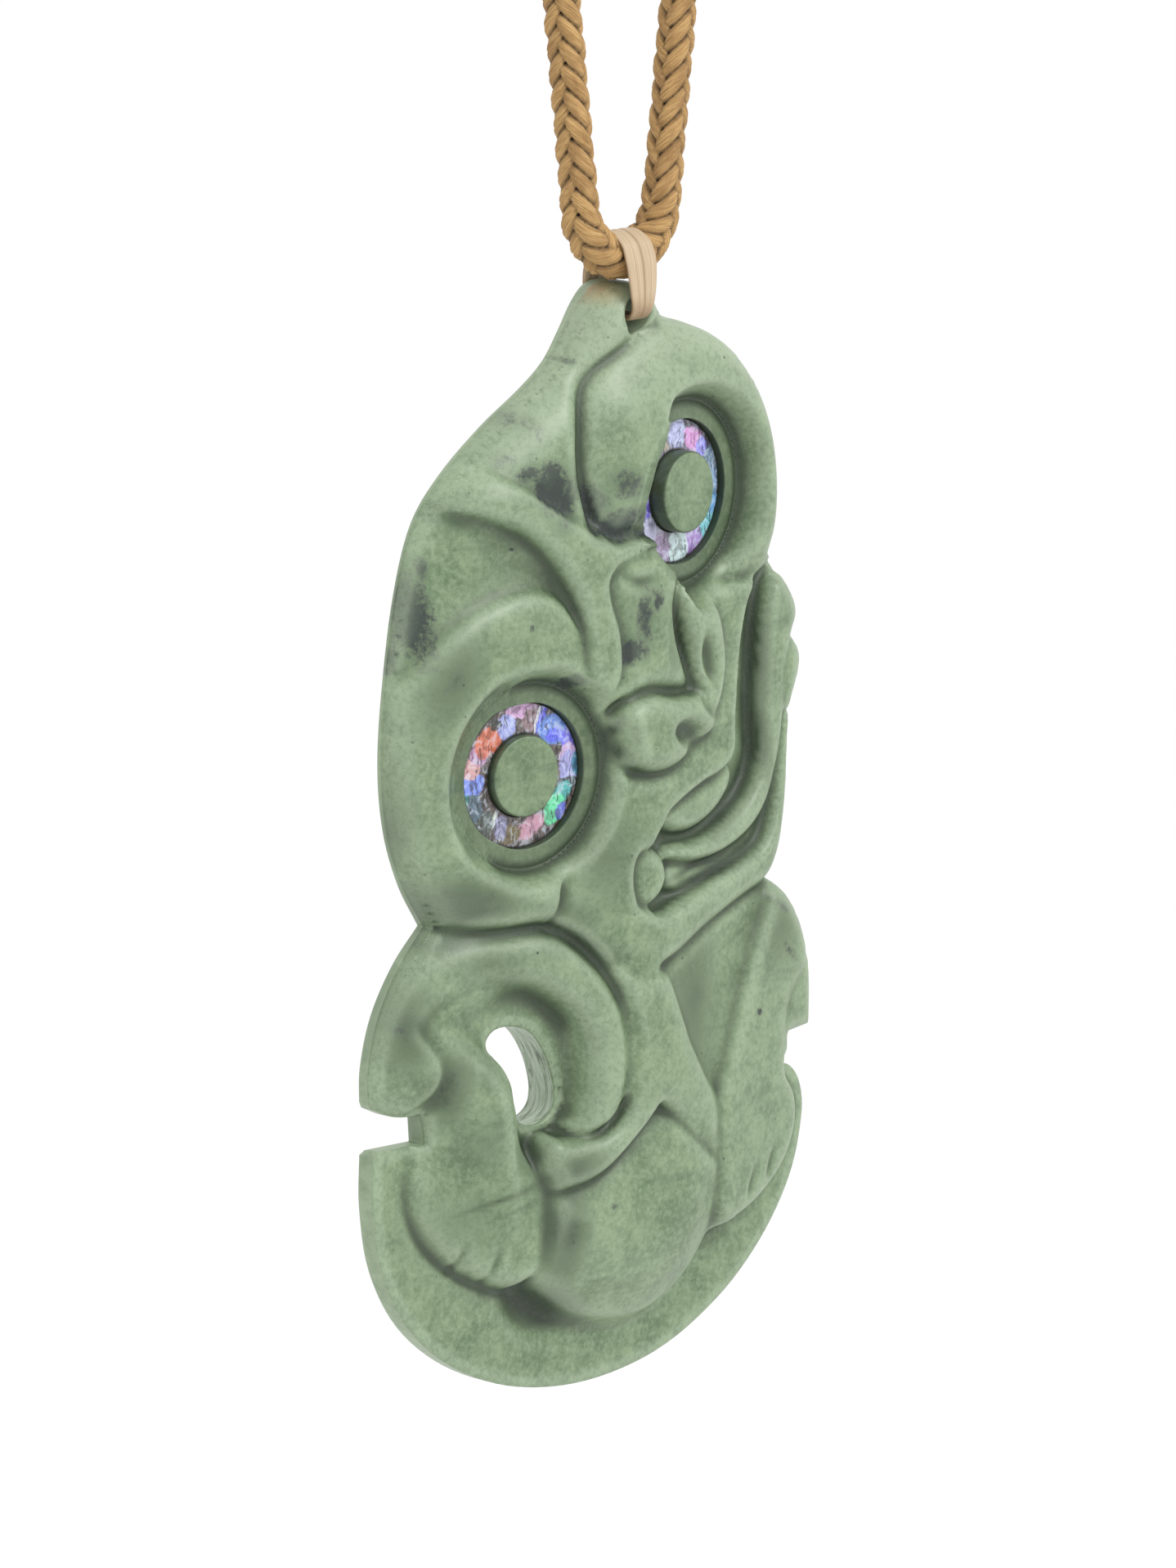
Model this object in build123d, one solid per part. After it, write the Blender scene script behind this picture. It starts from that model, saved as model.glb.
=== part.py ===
from build123d import *
import math
import os
from collections import namedtuple

import numpy as np

os.makedirs("parts", exist_ok=True)

# Driving sizes, in millimetres and degrees
stone_width = 62.0
stone_height = 111.0
relief_depth = 8.0
rim_thickness = 2.3
rim_front = -0.2
facet = 1.25
eye_ring_outer = 14.4
eye_ring_inner = 8.3
eye_ring_thickness = 0.8
inlay_gap = 0.08
ledge_width = 1.3
ledge_rise = 0.9
left_pupil_rise = 1.0
right_pupil_rise = 1.9
pupil_root = 0.3
cord_diameter = 4.2
cord_length = 700.0
cord_bottom_radius = 5.8
cord_spread = 7.0
cord_end_gap = 0.4
binding_length = 16.0
binding_wall = 0.7
binding_gap = 0.1
lashing_width = 3.0
lashing_thickness = 0.8
lashing_clearance = 0.65
bore_diameter = 3.7
seat_gap = 0.3

# The carver's drawing: 62 columns across, 111 rows up and 8 levels deep
drawing_columns = 62.0
drawing_rows = 111.0
drawing_levels = 8.0
column = stone_width / drawing_columns
row = stone_height / drawing_rows
level = relief_depth / drawing_levels

# Where the pendant hangs, in the drawing's columns, rows and levels
hang_column = 3.8
nub_top_row = 50.0
bore_row = 46.7
hang_level = 0.8

CORNER = True
Section = namedtuple("Section", "row ridge_column ridge_level side_level")
Form = namedtuple("Form", "name follow level lean_across lean_up crown shoulder edge outline")
Groove = namedtuple("Groove", "name start middle end left right path")
Eye = namedtuple("Eye", "name column row face_level lean pupil_rise")

# Outline of the stone, clockwise from the nub's top: column, row, and CORNER at a sharp turn
OUTLINE = [
    (3.8, 50.0), (6.5, 49.2), (7.6, 47.5), (9.4, 46.0), (12.2, 45.1), (15.8, 43.6), (19.2, 41.0),
    (22.2, 37.6), (24.2, 33.4), (25.1, 28.5), (24.9, 23.6), (24.4, 20.8, CORNER), (26.4, 18.8),
    (28.2, 16.2), (29.1, 13.9), (28.3, 11.6, CORNER), (29.4, 9.7), (29.2, 7.6), (28.0, 5.0),
    (27.4, 1.0), (26.9, -4.0), (25.6, -9.2), (24.0, -12.6, CORNER), (27.0, -14.8), (29.8, -18.6),
    (31.5, -23.4), (31.8, -29.6, CORNER), (27.6, -29.8, CORNER), (27.6, -33.2, CORNER),
    (29.8, -33.6), (31.4, -35.6), (31.8, -39.0), (30.0, -45.2), (25.6, -51.2), (19.2, -56.2),
    (10.2, -60.0), (0.0, -61.0), (-10.0, -59.8), (-18.6, -56.3), (-25.0, -51.2), (-28.8, -44.8),
    (-30.1, -38.0), (-30.0, -32.4, CORNER), (-23.2, -32.6, CORNER), (-23.4, -29.8, CORNER),
    (-27.0, -29.3), (-30.0, -28.0, CORNER), (-29.9, -24.2), (-28.4, -19.2), (-25.4, -14.6),
    (-21.9, -11.2, CORNER), (-24.6, -6.8), (-26.6, -1.2), (-27.3, 5.4), (-26.6, 13.4),
    (-25.0, 22.2), (-22.6, 28.8), (-18.8, 33.0), (-13.0, 37.2), (-7.6, 40.3), (-4.4, 42.6),
    (-2.2, 45.4), (-0.4, 48.0), (1.4, 49.6),
]

# The hole pierced under the left arm
HOLE = [
    (-16.6, -23.4), (-14.4, -22.3), (-11.4, -22.4), (-8.6, -24.2), (-6.9, -27.2), (-6.3, -30.2),
    (-6.9, -32.4), (-8.6, -33.0), (-10.9, -31.6), (-12.8, -29.0), (-14.9, -26.9), (-16.4, -25.2),
]

# The front's roof shape: a ridge down the middle that falls to both sides, from foot to nub
SECTIONS = [
    Section(-62.0, 2.0, 5.4, 0.0),
    Section(-45.0, 2.0, 6.4, 0.0),
    Section(-30.0, 3.0, 6.8, 0.2),
    Section(-18.0, 3.0, 6.4, 0.8),
    Section(-8.0, 3.0, 6.3, 1.4),
    Section(10.0, 2.0, 5.9, 1.6),
    Section(24.0, 1.0, 5.4, 1.6),
    Section(38.0, 2.0, 4.6, 1.6),
    Section(46.0, 4.0, 3.6, 2.4),
    Section(56.0, 4.0, 3.0, 2.6),
]
side_reach = 30.0

# Raised and sunken forms, each cut over the ones before it. follow says how much of the roof
# shape a form keeps, level is how far it stands over that, the leans tip it across and up, crown
# swells it over its shoulder, and edge is the width of its step. All are in drawing squares.
FORMS = [
    Form("foot_plate", 0.0, 0.0, 0.0, 0.0, 0.0, 1.0, 0.7,
         [(-40, -31.0, CORNER), (-23.6, -31.0, CORNER), (-24.6, -40.0), (-10.0, -48.0),
          (8.0, -50.0), (22.0, -44.0), (27.2, -31.4, CORNER), (40, -31.4, CORNER),
          (40, -70, CORNER), (-40, -70, CORNER)]),
    Form("temple_hollow", 1.0, -0.7, 0.0, 0.0, -1.0, 4.5, 0.9,
         [(-30, 31.5, CORNER), (-19.7, 30.6), (-17.1, 29.2), (-12.9, 27.3), (-10.3, 25.4),
          (-8.4, 23.0), (-6.8, 20.0), (-5.8, 16.8, CORNER), (-6.6, 17.6), (-8.7, 20.0),
          (-12.3, 21.1), (-18.5, 19.7), (-23.7, 16.5), (-26.8, 12.7), (-32, 8, CORNER)]),
    Form("left_eye_rim", 1.0, 0.0, 0.0, 0.0, 0.9, 4.0, 0.8,
         [(-32, 7, CORNER), (-26.8, 12.5), (-23.7, 16.3), (-18.5, 19.5), (-12.1, 20.9),
          (-8.5, 19.8), (-6.2, 16.3), (-5.2, 12.2), (-2.5, 8.0), (-1.0, 2.0), (-3.0, -3.5),
          (-7.0, -6.4), (-8.5, -8.2, CORNER), (-8.6, -10.0), (-10.0, -11.8, CORNER),
          (-18, -11.6), (-24, -10.6), (-32, -6, CORNER)]),
    Form("cheek", 1.0, -0.3, 0.0, 0.0, 0.5, 5.0, 1.2,
         [(-3.7, 9.6), (0.5, 10.8), (8.0, 11.0, CORNER), (14.5, 19.0, CORNER), (19.0, 21.5),
          (27.0, 20.0, CORNER), (27.0, -12.0, CORNER), (19.5, -14.0), (12.8, -15.6),
          (4.8, -18.8), (0.4, -18.0), (-4.4, -14.6), (-8.2, -11.6), (-8.4, -8.6), (-6.6, -6.2),
          (-2.0, -2.6), (0.0, 2.6), (-1.8, 7.4)]),
    Form("right_eye_rim", 1.0, -1.2, 0.0, 0.0, 2.4, 7.5, 0.8,
         [(6.6, 45.6), (1.0, 43.3), (-2.8, 40.6), (-4.2, 36.6), (-4.4, 31.6), (-3.6, 27.4),
          (-1.6, 25.2), (3.8, 24.9), (7.0, 21.0, CORNER), (12.0, 19.0), (17.0, 18.6),
          (24.0, 18.0, CORNER), (34.0, 21.0, CORNER), (34, 48, CORNER), (14.0, 48.6, CORNER)]),
    Form("brow", 1.0, 0.5, 0.0, 0.0, 0.5, 2.4, 0.7,
         [(-22.0, 36.4, CORNER), (-15.1, 32.8), (-11.9, 30.9), (-8.7, 28.8), (-5.8, 27.0),
          (-3.2, 25.5), (-0.7, 24.5), (3.9, 24.9, CORNER), (7.4, 20.8), (6.4, 16.4), (6.8, 12.2),
          (8.0, 9.2, CORNER), (2.5, 10.2), (-2.4, 9.8, CORNER), (-3.7, 10.0), (-4.9, 11.5),
          (-5.4, 13.6), (-5.7, 17.0), (-6.8, 20.4), (-8.5, 23.2), (-10.4, 25.5), (-12.9, 27.4),
          (-17.1, 29.3), (-24.0, 31.0, CORNER)]),
    Form("nose_bridge", 1.0, 0.2, 0.0, 0.0, 0.7, 3.0, 0.5,
         [(-1.2, 23.2), (3.9, 24.0), (7.4, 20.6), (6.6, 16.4), (6.8, 12.2), (8.6, 8.8, CORNER),
          (3.0, 9.0), (-2.6, 9.2), (-1.9, 12.0), (-1.7, 14.2), (-2.1, 16.8), (-3.0, 19.6),
          (-3.0, 21.8)]),
    Form("left_nostril", 1.0, 0.5, 0.06, 0.0, 0.9, 2.0, 0.6,
         [(-2.3, 6.1), (-1.4, 8.2), (0.6, 9.4), (3.0, 9.5), (5.4, 8.8), (8.2, 8.7), (10.8, 7.4),
          (10.6, 4.9), (8.8, 3.5), (6.6, 2.3), (4.0, 1.7), (1.4, 2.1), (-0.8, 3.2)]),
    Form("right_nostril", 1.0, 0.6, 0.0, 0.0, 0.9, 1.8, 0.6,
         [(6.9, 17.6), (9.2, 19.4), (11.8, 18.2), (13.6, 15.9), (14.3, 13.2), (14.1, 10.2),
          (12.7, 7.6), (10.9, 6.4), (9.3, 8.2), (8.1, 10.6), (7.3, 13.4)]),
    Form("mouth", 1.0, -2.6, 0.0, 0.0, 0.0, 1.0, 0.8,
         [(24.6, 19.6, CORNER), (20.0, 17.0), (18.3, 13.2), (17.5, 9.0), (17.0, 4.3),
          (16.8, 1.6), (15.2, -0.1), (11.7, -0.8), (7.9, -2.1), (5.2, -3.8), (3.4, -5.8),
          (2.1, -7.7), (1.7, -9.8), (2.4, -11.8), (4.6, -13.0), (7.5, -12.4), (13.2, -10.9),
          (17.9, -10.0), (21.6, -8.6), (23.6, -5.4), (24.4, -1.0), (25.6, 3.4),
          (28.0, 7.0, CORNER), (33, 9.0, CORNER), (33, 18.0, CORNER)]),
    Form("tongue", 1.0, -1.7, 0.0, 0.0, 0.7, 1.6, 0.7,
         [(15.4, 0.6), (11.7, -0.2), (7.5, -1.6), (4.8, -3.6), (5.6, -5.0), (9.6, -4.9),
          (13.6, -3.6), (16.4, -1.2)]),
    Form("tooth", 1.0, -1.3, 0.0, 0.0, 0.5, 1.4, 0.6,
         [(1.0, -6.6), (4.4, -6.6), (5.6, -8.6), (5.2, -10.8), (3.4, -12.2), (1.0, -11.6)]),
    Form("lower_lip", 1.0, -0.9, 0.0, 0.0, 0.5, 1.4, 0.8,
         [(25.2, 17.8), (27.6, 17.4), (31.0, 14.0), (28.4, 11.4), (27.2, 8.0), (25.6, 4.6),
          (23.6, 2.2), (22.2, -0.2), (21.0, -3.2), (18.8, -5.9), (16.0, -7.9), (11.9, -8.5),
          (7.7, -7.5), (6.4, -6.5), (10.4, -6.3), (14.6, -5.0), (18.0, -2.2), (19.9, 1.8),
          (20.8, 6.0), (22.2, 11.0), (23.6, 15.4)]),
    Form("arm_hollow", 0.0, 1.3, 0.0, 0.0, 0.0, 1.0, 3.0,
         [(-21.4, -20.2), (-17.4, -18.6), (-11.8, -18.4), (-7.6, -22.4), (-5.8, -28.6),
          (-6.4, -33.4), (-10.8, -34.4), (-13.4, -31.0), (-16.8, -26.5), (-20.2, -22.8)]),
    Form("left_foot", 0.0, 2.2, 0.17, 0.0, 0.8, 2.5, 1.0,
         [(-26.4, -33.6), (-26.6, -37.4), (-24.5, -42.0), (-21.6, -45.4), (-17.2, -47.4),
          (-12.4, -48.6), (-10.4, -47.6), (-9.6, -44.0), (-9.7, -38.0), (-10.6, -34.0),
          (-13.6, -31.0), (-16.8, -33.0), (-21.0, -34.0)]),
    Form("belly", 0.0, 3.4, 0.0, 0.06, 2.8, 9.0, 1.0,
         [(15.0, -36.0), (15.2, -44.0), (14.0, -49.4), (11.2, -52.6), (6.0, -54.9),
          (0.0, -54.4), (-5.0, -52.6), (-8.4, -49.6), (-9.5, -46.0), (-9.5, -38.0),
          (-6.0, -33.0), (4.0, -28.0), (12.0, -31.0)]),
    Form("right_leg", 1.0, -0.4, 0.0, 0.0, 0.7, 2.2, 0.9,
         [(28.2, -17.0), (30.6, -20.6), (30.2, -23.0), (27.6, -25.4), (26.6, -28.6),
          (26.8, -33.0), (28.8, -35.8), (29.2, -39.0), (27.4, -42.6), (23.4, -45.4),
          (18.4, -47.0), (15.6, -46.6), (15.6, -37.0), (17.0, -31.0), (20.0, -24.6),
          (24.0, -18.6)]),
    Form("right_arm", 1.0, -0.3, 0.0, 0.0, -0.9, 3.0, 0.7,
         [(4.6, -18.6), (8.0, -17.3), (12.8, -15.5), (18.8, -13.8), (24.6, -12.6, CORNER),
          (28.0, -16.2), (24.8, -17.6), (22.0, -19.8), (18.9, -24.2), (15.6, -29.8),
          (13.7, -33.6, CORNER), (11.0, -30.4), (8.3, -26.0), (6.4, -22.0)]),
    Form("left_arm", 1.0, -0.4, 0.0, 0.0, 0.9, 2.2, 0.9,
         [(-25.0, -13.0), (-15.5, -12.3), (-9.5, -12.9), (-4.8, -16.4), (-1.4, -21.4),
          (-0.4, -26.6), (-1.9, -31.6), (-4.0, -33.3), (-8.4, -33.7), (-7.0, -32.2),
          (-5.7, -28.8), (-6.6, -22.6), (-11.8, -17.6), (-18.0, -17.6), (-22.6, -19.4),
          (-24.6, -21.8), (-23.8, -24.4), (-23.4, -26.6), (-24.4, -28.6), (-26.4, -30.4),
          (-34.0, -29.0, CORNER), (-34.0, -14.0, CORNER)]),
    Form("left_leg", 0.0, 2.6, 0.1, -0.03, 0.8, 2.2, 1.4,
         [(-23.6, -19.4), (-21.2, -20.4), (-18.8, -23.8), (-16.0, -27.6), (-13.4, -30.8),
          (-11.2, -34.0), (-11.4, -38.0), (-16.0, -37.6), (-16.8, -34.0), (-18.2, -30.4),
          (-20.6, -26.6), (-22.8, -23.2)]),
    Form("chest", 1.0, -0.1, 0.0, 0.0, 0.6, 2.4, 0.6,
         [(-2.0, -17.0), (0.6, -20.4), (1.6, -24.4), (1.6, -29.4), (-0.2, -33.2), (-3.6, -34.8),
          (-8.6, -35.2), (-11.0, -36.6), (-10.6, -38.8), (-6.6, -39.0), (-3.0, -37.8),
          (0.8, -35.0), (4.0, -32.2, CORNER), (6.6, -33.6), (9.6, -35.9), (12.6, -38.0),
          (13.6, -37.2), (13.3, -34.2), (11.0, -30.3), (8.3, -25.8), (6.5, -21.8), (4.8, -18.4),
          (2.0, -17.0)]),
]

# Grooves cut last: depth at the start, middle and end, the width on each side, and the path
GROOVES = [
    Groove("eye_groove", 0.6, 1.6, 1.4, 1.0, 2.2,
           [(7.4, 46.0), (1.0, 43.4), (-2.9, 40.8), (-4.4, 36.6), (-4.6, 31.8), (-3.6, 27.2)]),
    Groove("arm_groove", 1.2, 2.2, 0.8, 1.2, 2.0,
           [(-21.8, -11.4), (-15.5, -12.0), (-9.5, -12.4), (-4.2, -16.0), (-0.6, -21.4),
            (0.4, -26.6), (-1.2, -31.8), (-2.8, -33.4)]),
    Groove("chin_groove", 1.0, 1.0, 0.8, 1.4, 1.4,
           [(24.2, -12.7), (18.8, -13.9), (12.8, -15.6), (8.0, -17.4), (4.6, -18.8)]),
    Groove("throat", 0.4, 0.9, 0.4, 1.8, 1.8,
           [(-2.4, -16.8), (1.0, -18.4), (4.8, -18.8)]),
    Groove("nose_groove", 0.4, 1.6, 0.8, 0.9, 1.2,
           [(7.0, 19.6), (6.6, 16.4), (7.0, 12.8), (8.6, 9.2)]),
    Groove("nose_root", 0.3, 0.9, 0.3, 0.6, 1.0,
           [(-1.2, 22.0), (1.2, 21.0), (3.8, 21.2)]),
    Groove("hand_slit", 0.3, 1.2, 0.5, 0.6, 0.7,
           [(-9.6, -33.8), (-6.6, -34.4), (-3.4, -33.8)]),
    Groove("lid_groove", 1.0, 0.8, 0.4, 0.8, 0.8,
           [(18.6, 22.0), (16.4, 19.2), (13.6, 18.0)]),
]

EYES = [
    Eye("left", -11.3, 2.8, 1.75, 0.116, left_pupil_rise),
    Eye("right", 10.9, 28.3, 1.4, -0.116, right_pupil_rise),
]

# The socket outside its ledge: how far out and how far up its wall has come
SOCKET_WALL = [(0.0, 0.0), (1.6, 1.4), (4.0, 5.2), (6.0, 9.0)]
socket_reach = 5.5

# How the front falls off to the edge: row, the width of the fall and its depth
EDGE_FALL = [(-62.0, 1.2, 0.4), (-30.0, 1.4, 0.5), (-14.0, 1.8, 0.8), (-6.0, 3.4, 1.5), (56.0, 3.4, 1.3)]


def curve(rows, closed=True, steps=6):
    """A smooth line through the drawing's points, which turns sharply only at a CORNER."""
    points = np.array([(entry[0] * column, entry[1] * row) for entry in rows], float)
    corner = np.array([len(entry) > 2 for entry in rows])
    before = np.roll(points, 1, axis=0)
    after = np.roll(points, -1, axis=0)
    if not closed:
        before[0] = points[0]
        after[-1] = points[-1]
    way = after - before
    way /= np.hypot(*way.T)[:, None]
    spans = len(points) if closed else len(points) - 1
    start, end = points[:spans], after[:spans]
    length = np.hypot(*(end - start).T)[:, None]
    straight = (end - start) / length
    leave = np.where(corner[:spans, None], straight, way[:spans]) * length
    arrive = np.where(np.roll(corner, -1)[:spans, None], straight,
                      np.roll(way, -1, axis=0)[:spans]) * length
    t = np.linspace(0, 1, steps, endpoint=False)[:, None, None]
    line = ((2 * t**3 - 3 * t**2 + 1) * start + (t**3 - 2 * t**2 + t) * leave
            + (3 * t**2 - 2 * t**3) * end + (t**3 - t**2) * arrive)
    line = line.transpose(1, 0, 2).reshape(-1, 2)
    return line if closed else np.vstack([line, points[-1]])


def nearest(x, z, line, closed=True):
    """Distance to a line, the nearest point on it, how far along that is, and on which side.

    For a closed line the distance is positive inside and negative outside.
    """
    start = line if closed else line[:-1]
    end = np.roll(line, -1, axis=0) if closed else line[1:]
    lengths = np.hypot(*(end - start).T)
    passed = np.concatenate([[0.0], np.cumsum(lengths)])
    best = np.full(x.shape, np.inf)
    spot = np.zeros(x.shape + (2,))
    along = np.zeros(x.shape)
    side = np.zeros(x.shape)
    inside = np.zeros(x.shape, bool)
    for number, ((ax, az), (bx, bz)) in enumerate(zip(start, end)):
        dx, dz = bx - ax, bz - az
        share = ((x - ax) * dx + (z - az) * dz) / (dx * dx + dz * dz)
        share = np.clip(share, 0.0, 1.0)
        px, pz = ax + share * dx, az + share * dz
        gap = np.hypot(x - px, z - pz)
        closer = gap < best
        best = np.where(closer, gap, best)
        spot[closer] = np.stack([px, pz], -1)[closer]
        along = np.where(closer, passed[number] + share * lengths[number], along)
        side = np.where(closer, dx * (z - pz) - dz * (x - px), side)
        if closed and dz:
            inside ^= ((az > z) != (bz > z)) & (x < ax + (z - az) / dz * dx)
    if closed:
        best = np.where(inside, best, -best)
    return best, spot, along / passed[-1], side


def ease(t):
    """0 to 1 with level ends."""
    t = np.clip(t, 0.0, 1.0)
    return t * t * (3.0 - 2.0 * t)


def roof(x, z):
    """Height of the plain front, before its forms are cut."""
    table = np.array(SECTIONS)
    at = np.interp(z / row, table[:, 0], table[:, 1]) * column
    ridge = np.interp(z / row, table[:, 0], table[:, 2])
    sides = np.interp(z / row, table[:, 0], table[:, 3])
    blunt = 0.1
    out = np.hypot((x - at) / (side_reach * column), blunt) - blunt
    return (ridge + (sides - ridge) * out**1.15) * level


def eye_face(x, eye):
    """Height of the plane that an eye's ring lies in."""
    return eye.face_level * level + eye.lean * (x - eye.column * column)


def relief(x, z):
    """Height of the carved front over the rim's plane."""
    plain = roof(x, z)
    height = plain.copy()
    for form in FORMS:
        line = curve(form.outline)
        margin = nearest(x, z, line)[0] / column
        swell = 1.0 - (1.0 - np.clip(margin / form.shoulder, 0.0, 1.0))**2
        tip = (form.lean_across * (x - line[:, 0].mean()) / column
               + form.lean_up * (z - line[:, 1].mean()) / row)
        top = form.follow * plain + (form.level + tip + form.crown * swell) * level
        height += (top - height) * ease(margin / form.edge + 0.5)
    for groove in GROOVES:
        gap, _, along, side = nearest(x, z, curve(groove.path, closed=False), closed=False)
        width = np.where(side > 0, groove.left, groove.right) * column
        depth = np.interp(along, [0.0, 0.5, 1.0], [groove.start, groove.middle, groove.end])
        height -= depth * level * np.clip(1.0 - gap / width, 0.0, 1.0)**1.5
    wall = np.array(SOCKET_WALL)
    for eye in EYES:
        out = np.hypot(x - eye.column * column, z - eye.row * row) - eye_ring_outer / 2 - ledge_width
        floor = eye_face(x, eye) + ledge_rise + np.interp(out, wall[:, 0], wall[:, 1])
        height = np.where(out < socket_reach, np.minimum(height, floor), height)
    return height


def stone_front(x, z, margin):
    """Height of the front with its edge rounded off, never under the rim's least front."""
    fall = np.array(EDGE_FALL)
    width = np.interp(z / row, fall[:, 0], fall[:, 1]) * column
    depth = np.interp(z / row, fall[:, 0], fall[:, 2]) * level
    height = relief(x, z) - depth * np.clip(1.0 - margin / width, 0.0, 1.0)**2
    return np.maximum(height, rim_front)


def trimmed_grid(spacing):
    """A grid of triangles cut to the outline and the hole: points, margins and triangles."""
    outline, hole = curve(OUTLINE), curve(HOLE)
    low, high = outline.min(axis=0), outline.max(axis=0)
    counts = np.ceil((high - low) / spacing).astype(int) + 1
    x, z = np.meshgrid(np.linspace(low[0], high[0], counts[0]), np.linspace(low[1], high[1], counts[1]))
    shape = x.shape
    x, z = x.ravel(), z.ravel()
    margin, spot = nearest(x, z, outline)[:2]
    hole_margin, hole_spot = nearest(x, z, hole)[:2]
    by_hole = -hole_margin < margin
    margin = np.where(by_hole, -hole_margin, margin)
    spot = np.where(by_hole[:, None], hole_spot, spot)
    close = np.abs(margin) < 0.33 * spacing
    points = np.where(close[:, None], spot, np.stack([x, z], -1))
    margin = np.where(close, 0.0, margin)

    node = np.arange(points.shape[0]).reshape(shape)
    a, b, c, d = (corner.ravel() for corner in (node[:-1, :-1], node[:-1, 1:], node[1:, 1:], node[1:, :-1]))
    triangles = np.concatenate([np.stack([a, b, c], -1), np.stack([a, c, d], -1)])
    sign = np.sign(margin[triangles])
    whole = triangles[(sign.min(axis=1) >= 0) & (sign.max(axis=1) > 0)]
    mixed = triangles[(sign.min(axis=1) < 0) & (sign.max(axis=1) > 0)]

    cuts = {}
    added = []

    def cut(inner, outer):
        key = (min(inner, outer), max(inner, outer))
        if key not in cuts:
            share = margin[inner] / (margin[inner] - margin[outer])
            added.append(points[inner] + share * (points[outer] - points[inner]))
            cuts[key] = len(points) + len(added) - 1
        return cuts[key]

    clipped = []
    for corners in mixed:
        loop = []
        for one, other in zip(corners, np.roll(corners, -1)):
            if margin[one] >= 0:
                loop.append(one)
            if margin[one] * margin[other] < 0:
                loop.append(cut(one, other) if margin[one] > 0 else cut(other, one))
        clipped += [(loop[0], loop[k], loop[k + 1]) for k in range(1, len(loop) - 1)]
    points = np.vstack([points, added])
    margin = np.concatenate([margin, np.zeros(len(added))])
    return points, margin, np.vstack([whole, clipped])


def rim_loops(triangles):
    """The free edges of the grid as closed loops of point numbers, the longest first."""
    edges = {}
    for a, b, c in triangles:
        for edge in ((a, b), (b, c), (c, a)):
            edges[edge] = True
    follow = {a: b for a, b in edges if (b, a) not in edges}
    loops = []
    while follow:
        start, here = follow.popitem()
        loop = [start]
        while here != start:
            loop.append(here)
            here = follow.pop(here)
        loops.append(loop)
    return sorted(loops, key=len, reverse=True)


# The cord's loop: two straight sides that spread upwards, a small bend under the pendant's
# lashing and a wide bend at the top, with the whole centre line as long as the cord
spread = math.radians(cord_spread)
sides_per_radius = 2.0 / math.tan(spread)
cord_top_radius = (cord_length + cord_bottom_radius * (sides_per_radius - math.pi + 2.0 * spread)) / (
    sides_per_radius + math.pi + 2.0 * spread)
side_length = (cord_top_radius - cord_bottom_radius) / math.tan(spread)
cord_radius = cord_diameter / 2.0
binding_radius = cord_radius + binding_gap + binding_wall
top_z = binding_radius
top_centre_z = top_z - cord_top_radius
side_top_z = top_centre_z - cord_top_radius * math.sin(spread)
side_bottom_z = side_top_z - side_length * math.cos(spread)
bottom_centre_z = side_bottom_z + cord_bottom_radius * math.sin(spread)
hinge_z = bottom_centre_z - cord_bottom_radius

# Where the drawing's origin lies in the part's frame
stone_x = -hang_column * column
stone_y = hang_level * level
stone_z = hinge_z - cord_radius - seat_gap - nub_top_row * row


def place(points, heights):
    """Drawing points and heights as points of the part's frame."""
    return [(px + stone_x, stone_y - h, pz + stone_z) for (px, pz), h in zip(points, heights)]


def carved_block():
    """The stone with its outline, hole and relief, before the eyes and the bore are cut."""
    points, margin, triangles = trimmed_grid(facet)
    heights = stone_front(points[:, 0], points[:, 1], margin)
    front = place(points, heights)
    back = place(points, np.full(len(points), -rim_thickness))
    faces = [Face(Wire.make_polygon([front[a], front[b], front[c]], close=True)) for a, b, c in triangles]
    loops = rim_loops(triangles)
    for loop in loops:
        for one, other in zip(loop, loop[1:] + loop[:1]):
            faces.append(Face(Wire.make_polygon([front[one], front[other], back[other], back[one]], close=True)))
    wires = [Wire.make_polygon([back[number] for number in loop], close=True) for loop in loops]
    faces.append(Face(wires[0], wires[1:]))
    return Solid(Shell(faces))


def eye_plane(eye, rise=0.0):
    """The plane of an eye's ring, raised a little towards the front, with its normal outwards."""
    normal = Vector(-eye.lean, -1.0, 0.0).normalized()
    centre = Vector(eye.column * column + stone_x, stone_y - eye.face_level * level, eye.row * row + stone_z)
    return Plane(origin=centre + normal * rise, x_dir=(0, 0, 1), z_dir=normal)


def disc(plane, radius, height):
    """A round plate that stands on a plane."""
    return extrude(plane * Circle(radius), amount=height)


def tiki_body():
    """The whole pendant stone, one solid, with its two eye recesses, pupils and bore."""
    stone = carved_block()
    recess = eye_ring_thickness + inlay_gap
    for eye in EYES:
        stone -= disc(eye_plane(eye, -recess), eye_ring_outer / 2 + inlay_gap, relief_depth)
        stone += disc(eye_plane(eye, -recess - pupil_root), eye_ring_inner / 2 - inlay_gap,
                      recess + pupil_root + eye.pupil_rise)
    bore_plane = Plane(origin=(0, stone_y + relief_depth, stone_z + bore_row * row), z_dir=(0, -1, 0))
    stone -= extrude(bore_plane * Circle(bore_diameter / 2), amount=2 * relief_depth + rim_thickness)
    return stone


def eye_ring(eye):
    """A flat shell ring that lies in its recess round the pupil."""
    plane = eye_plane(eye, -eye_ring_thickness)
    return extrude(plane * (Circle(eye_ring_outer / 2) - Circle(eye_ring_inner / 2)),
                   amount=eye_ring_thickness)


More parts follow.
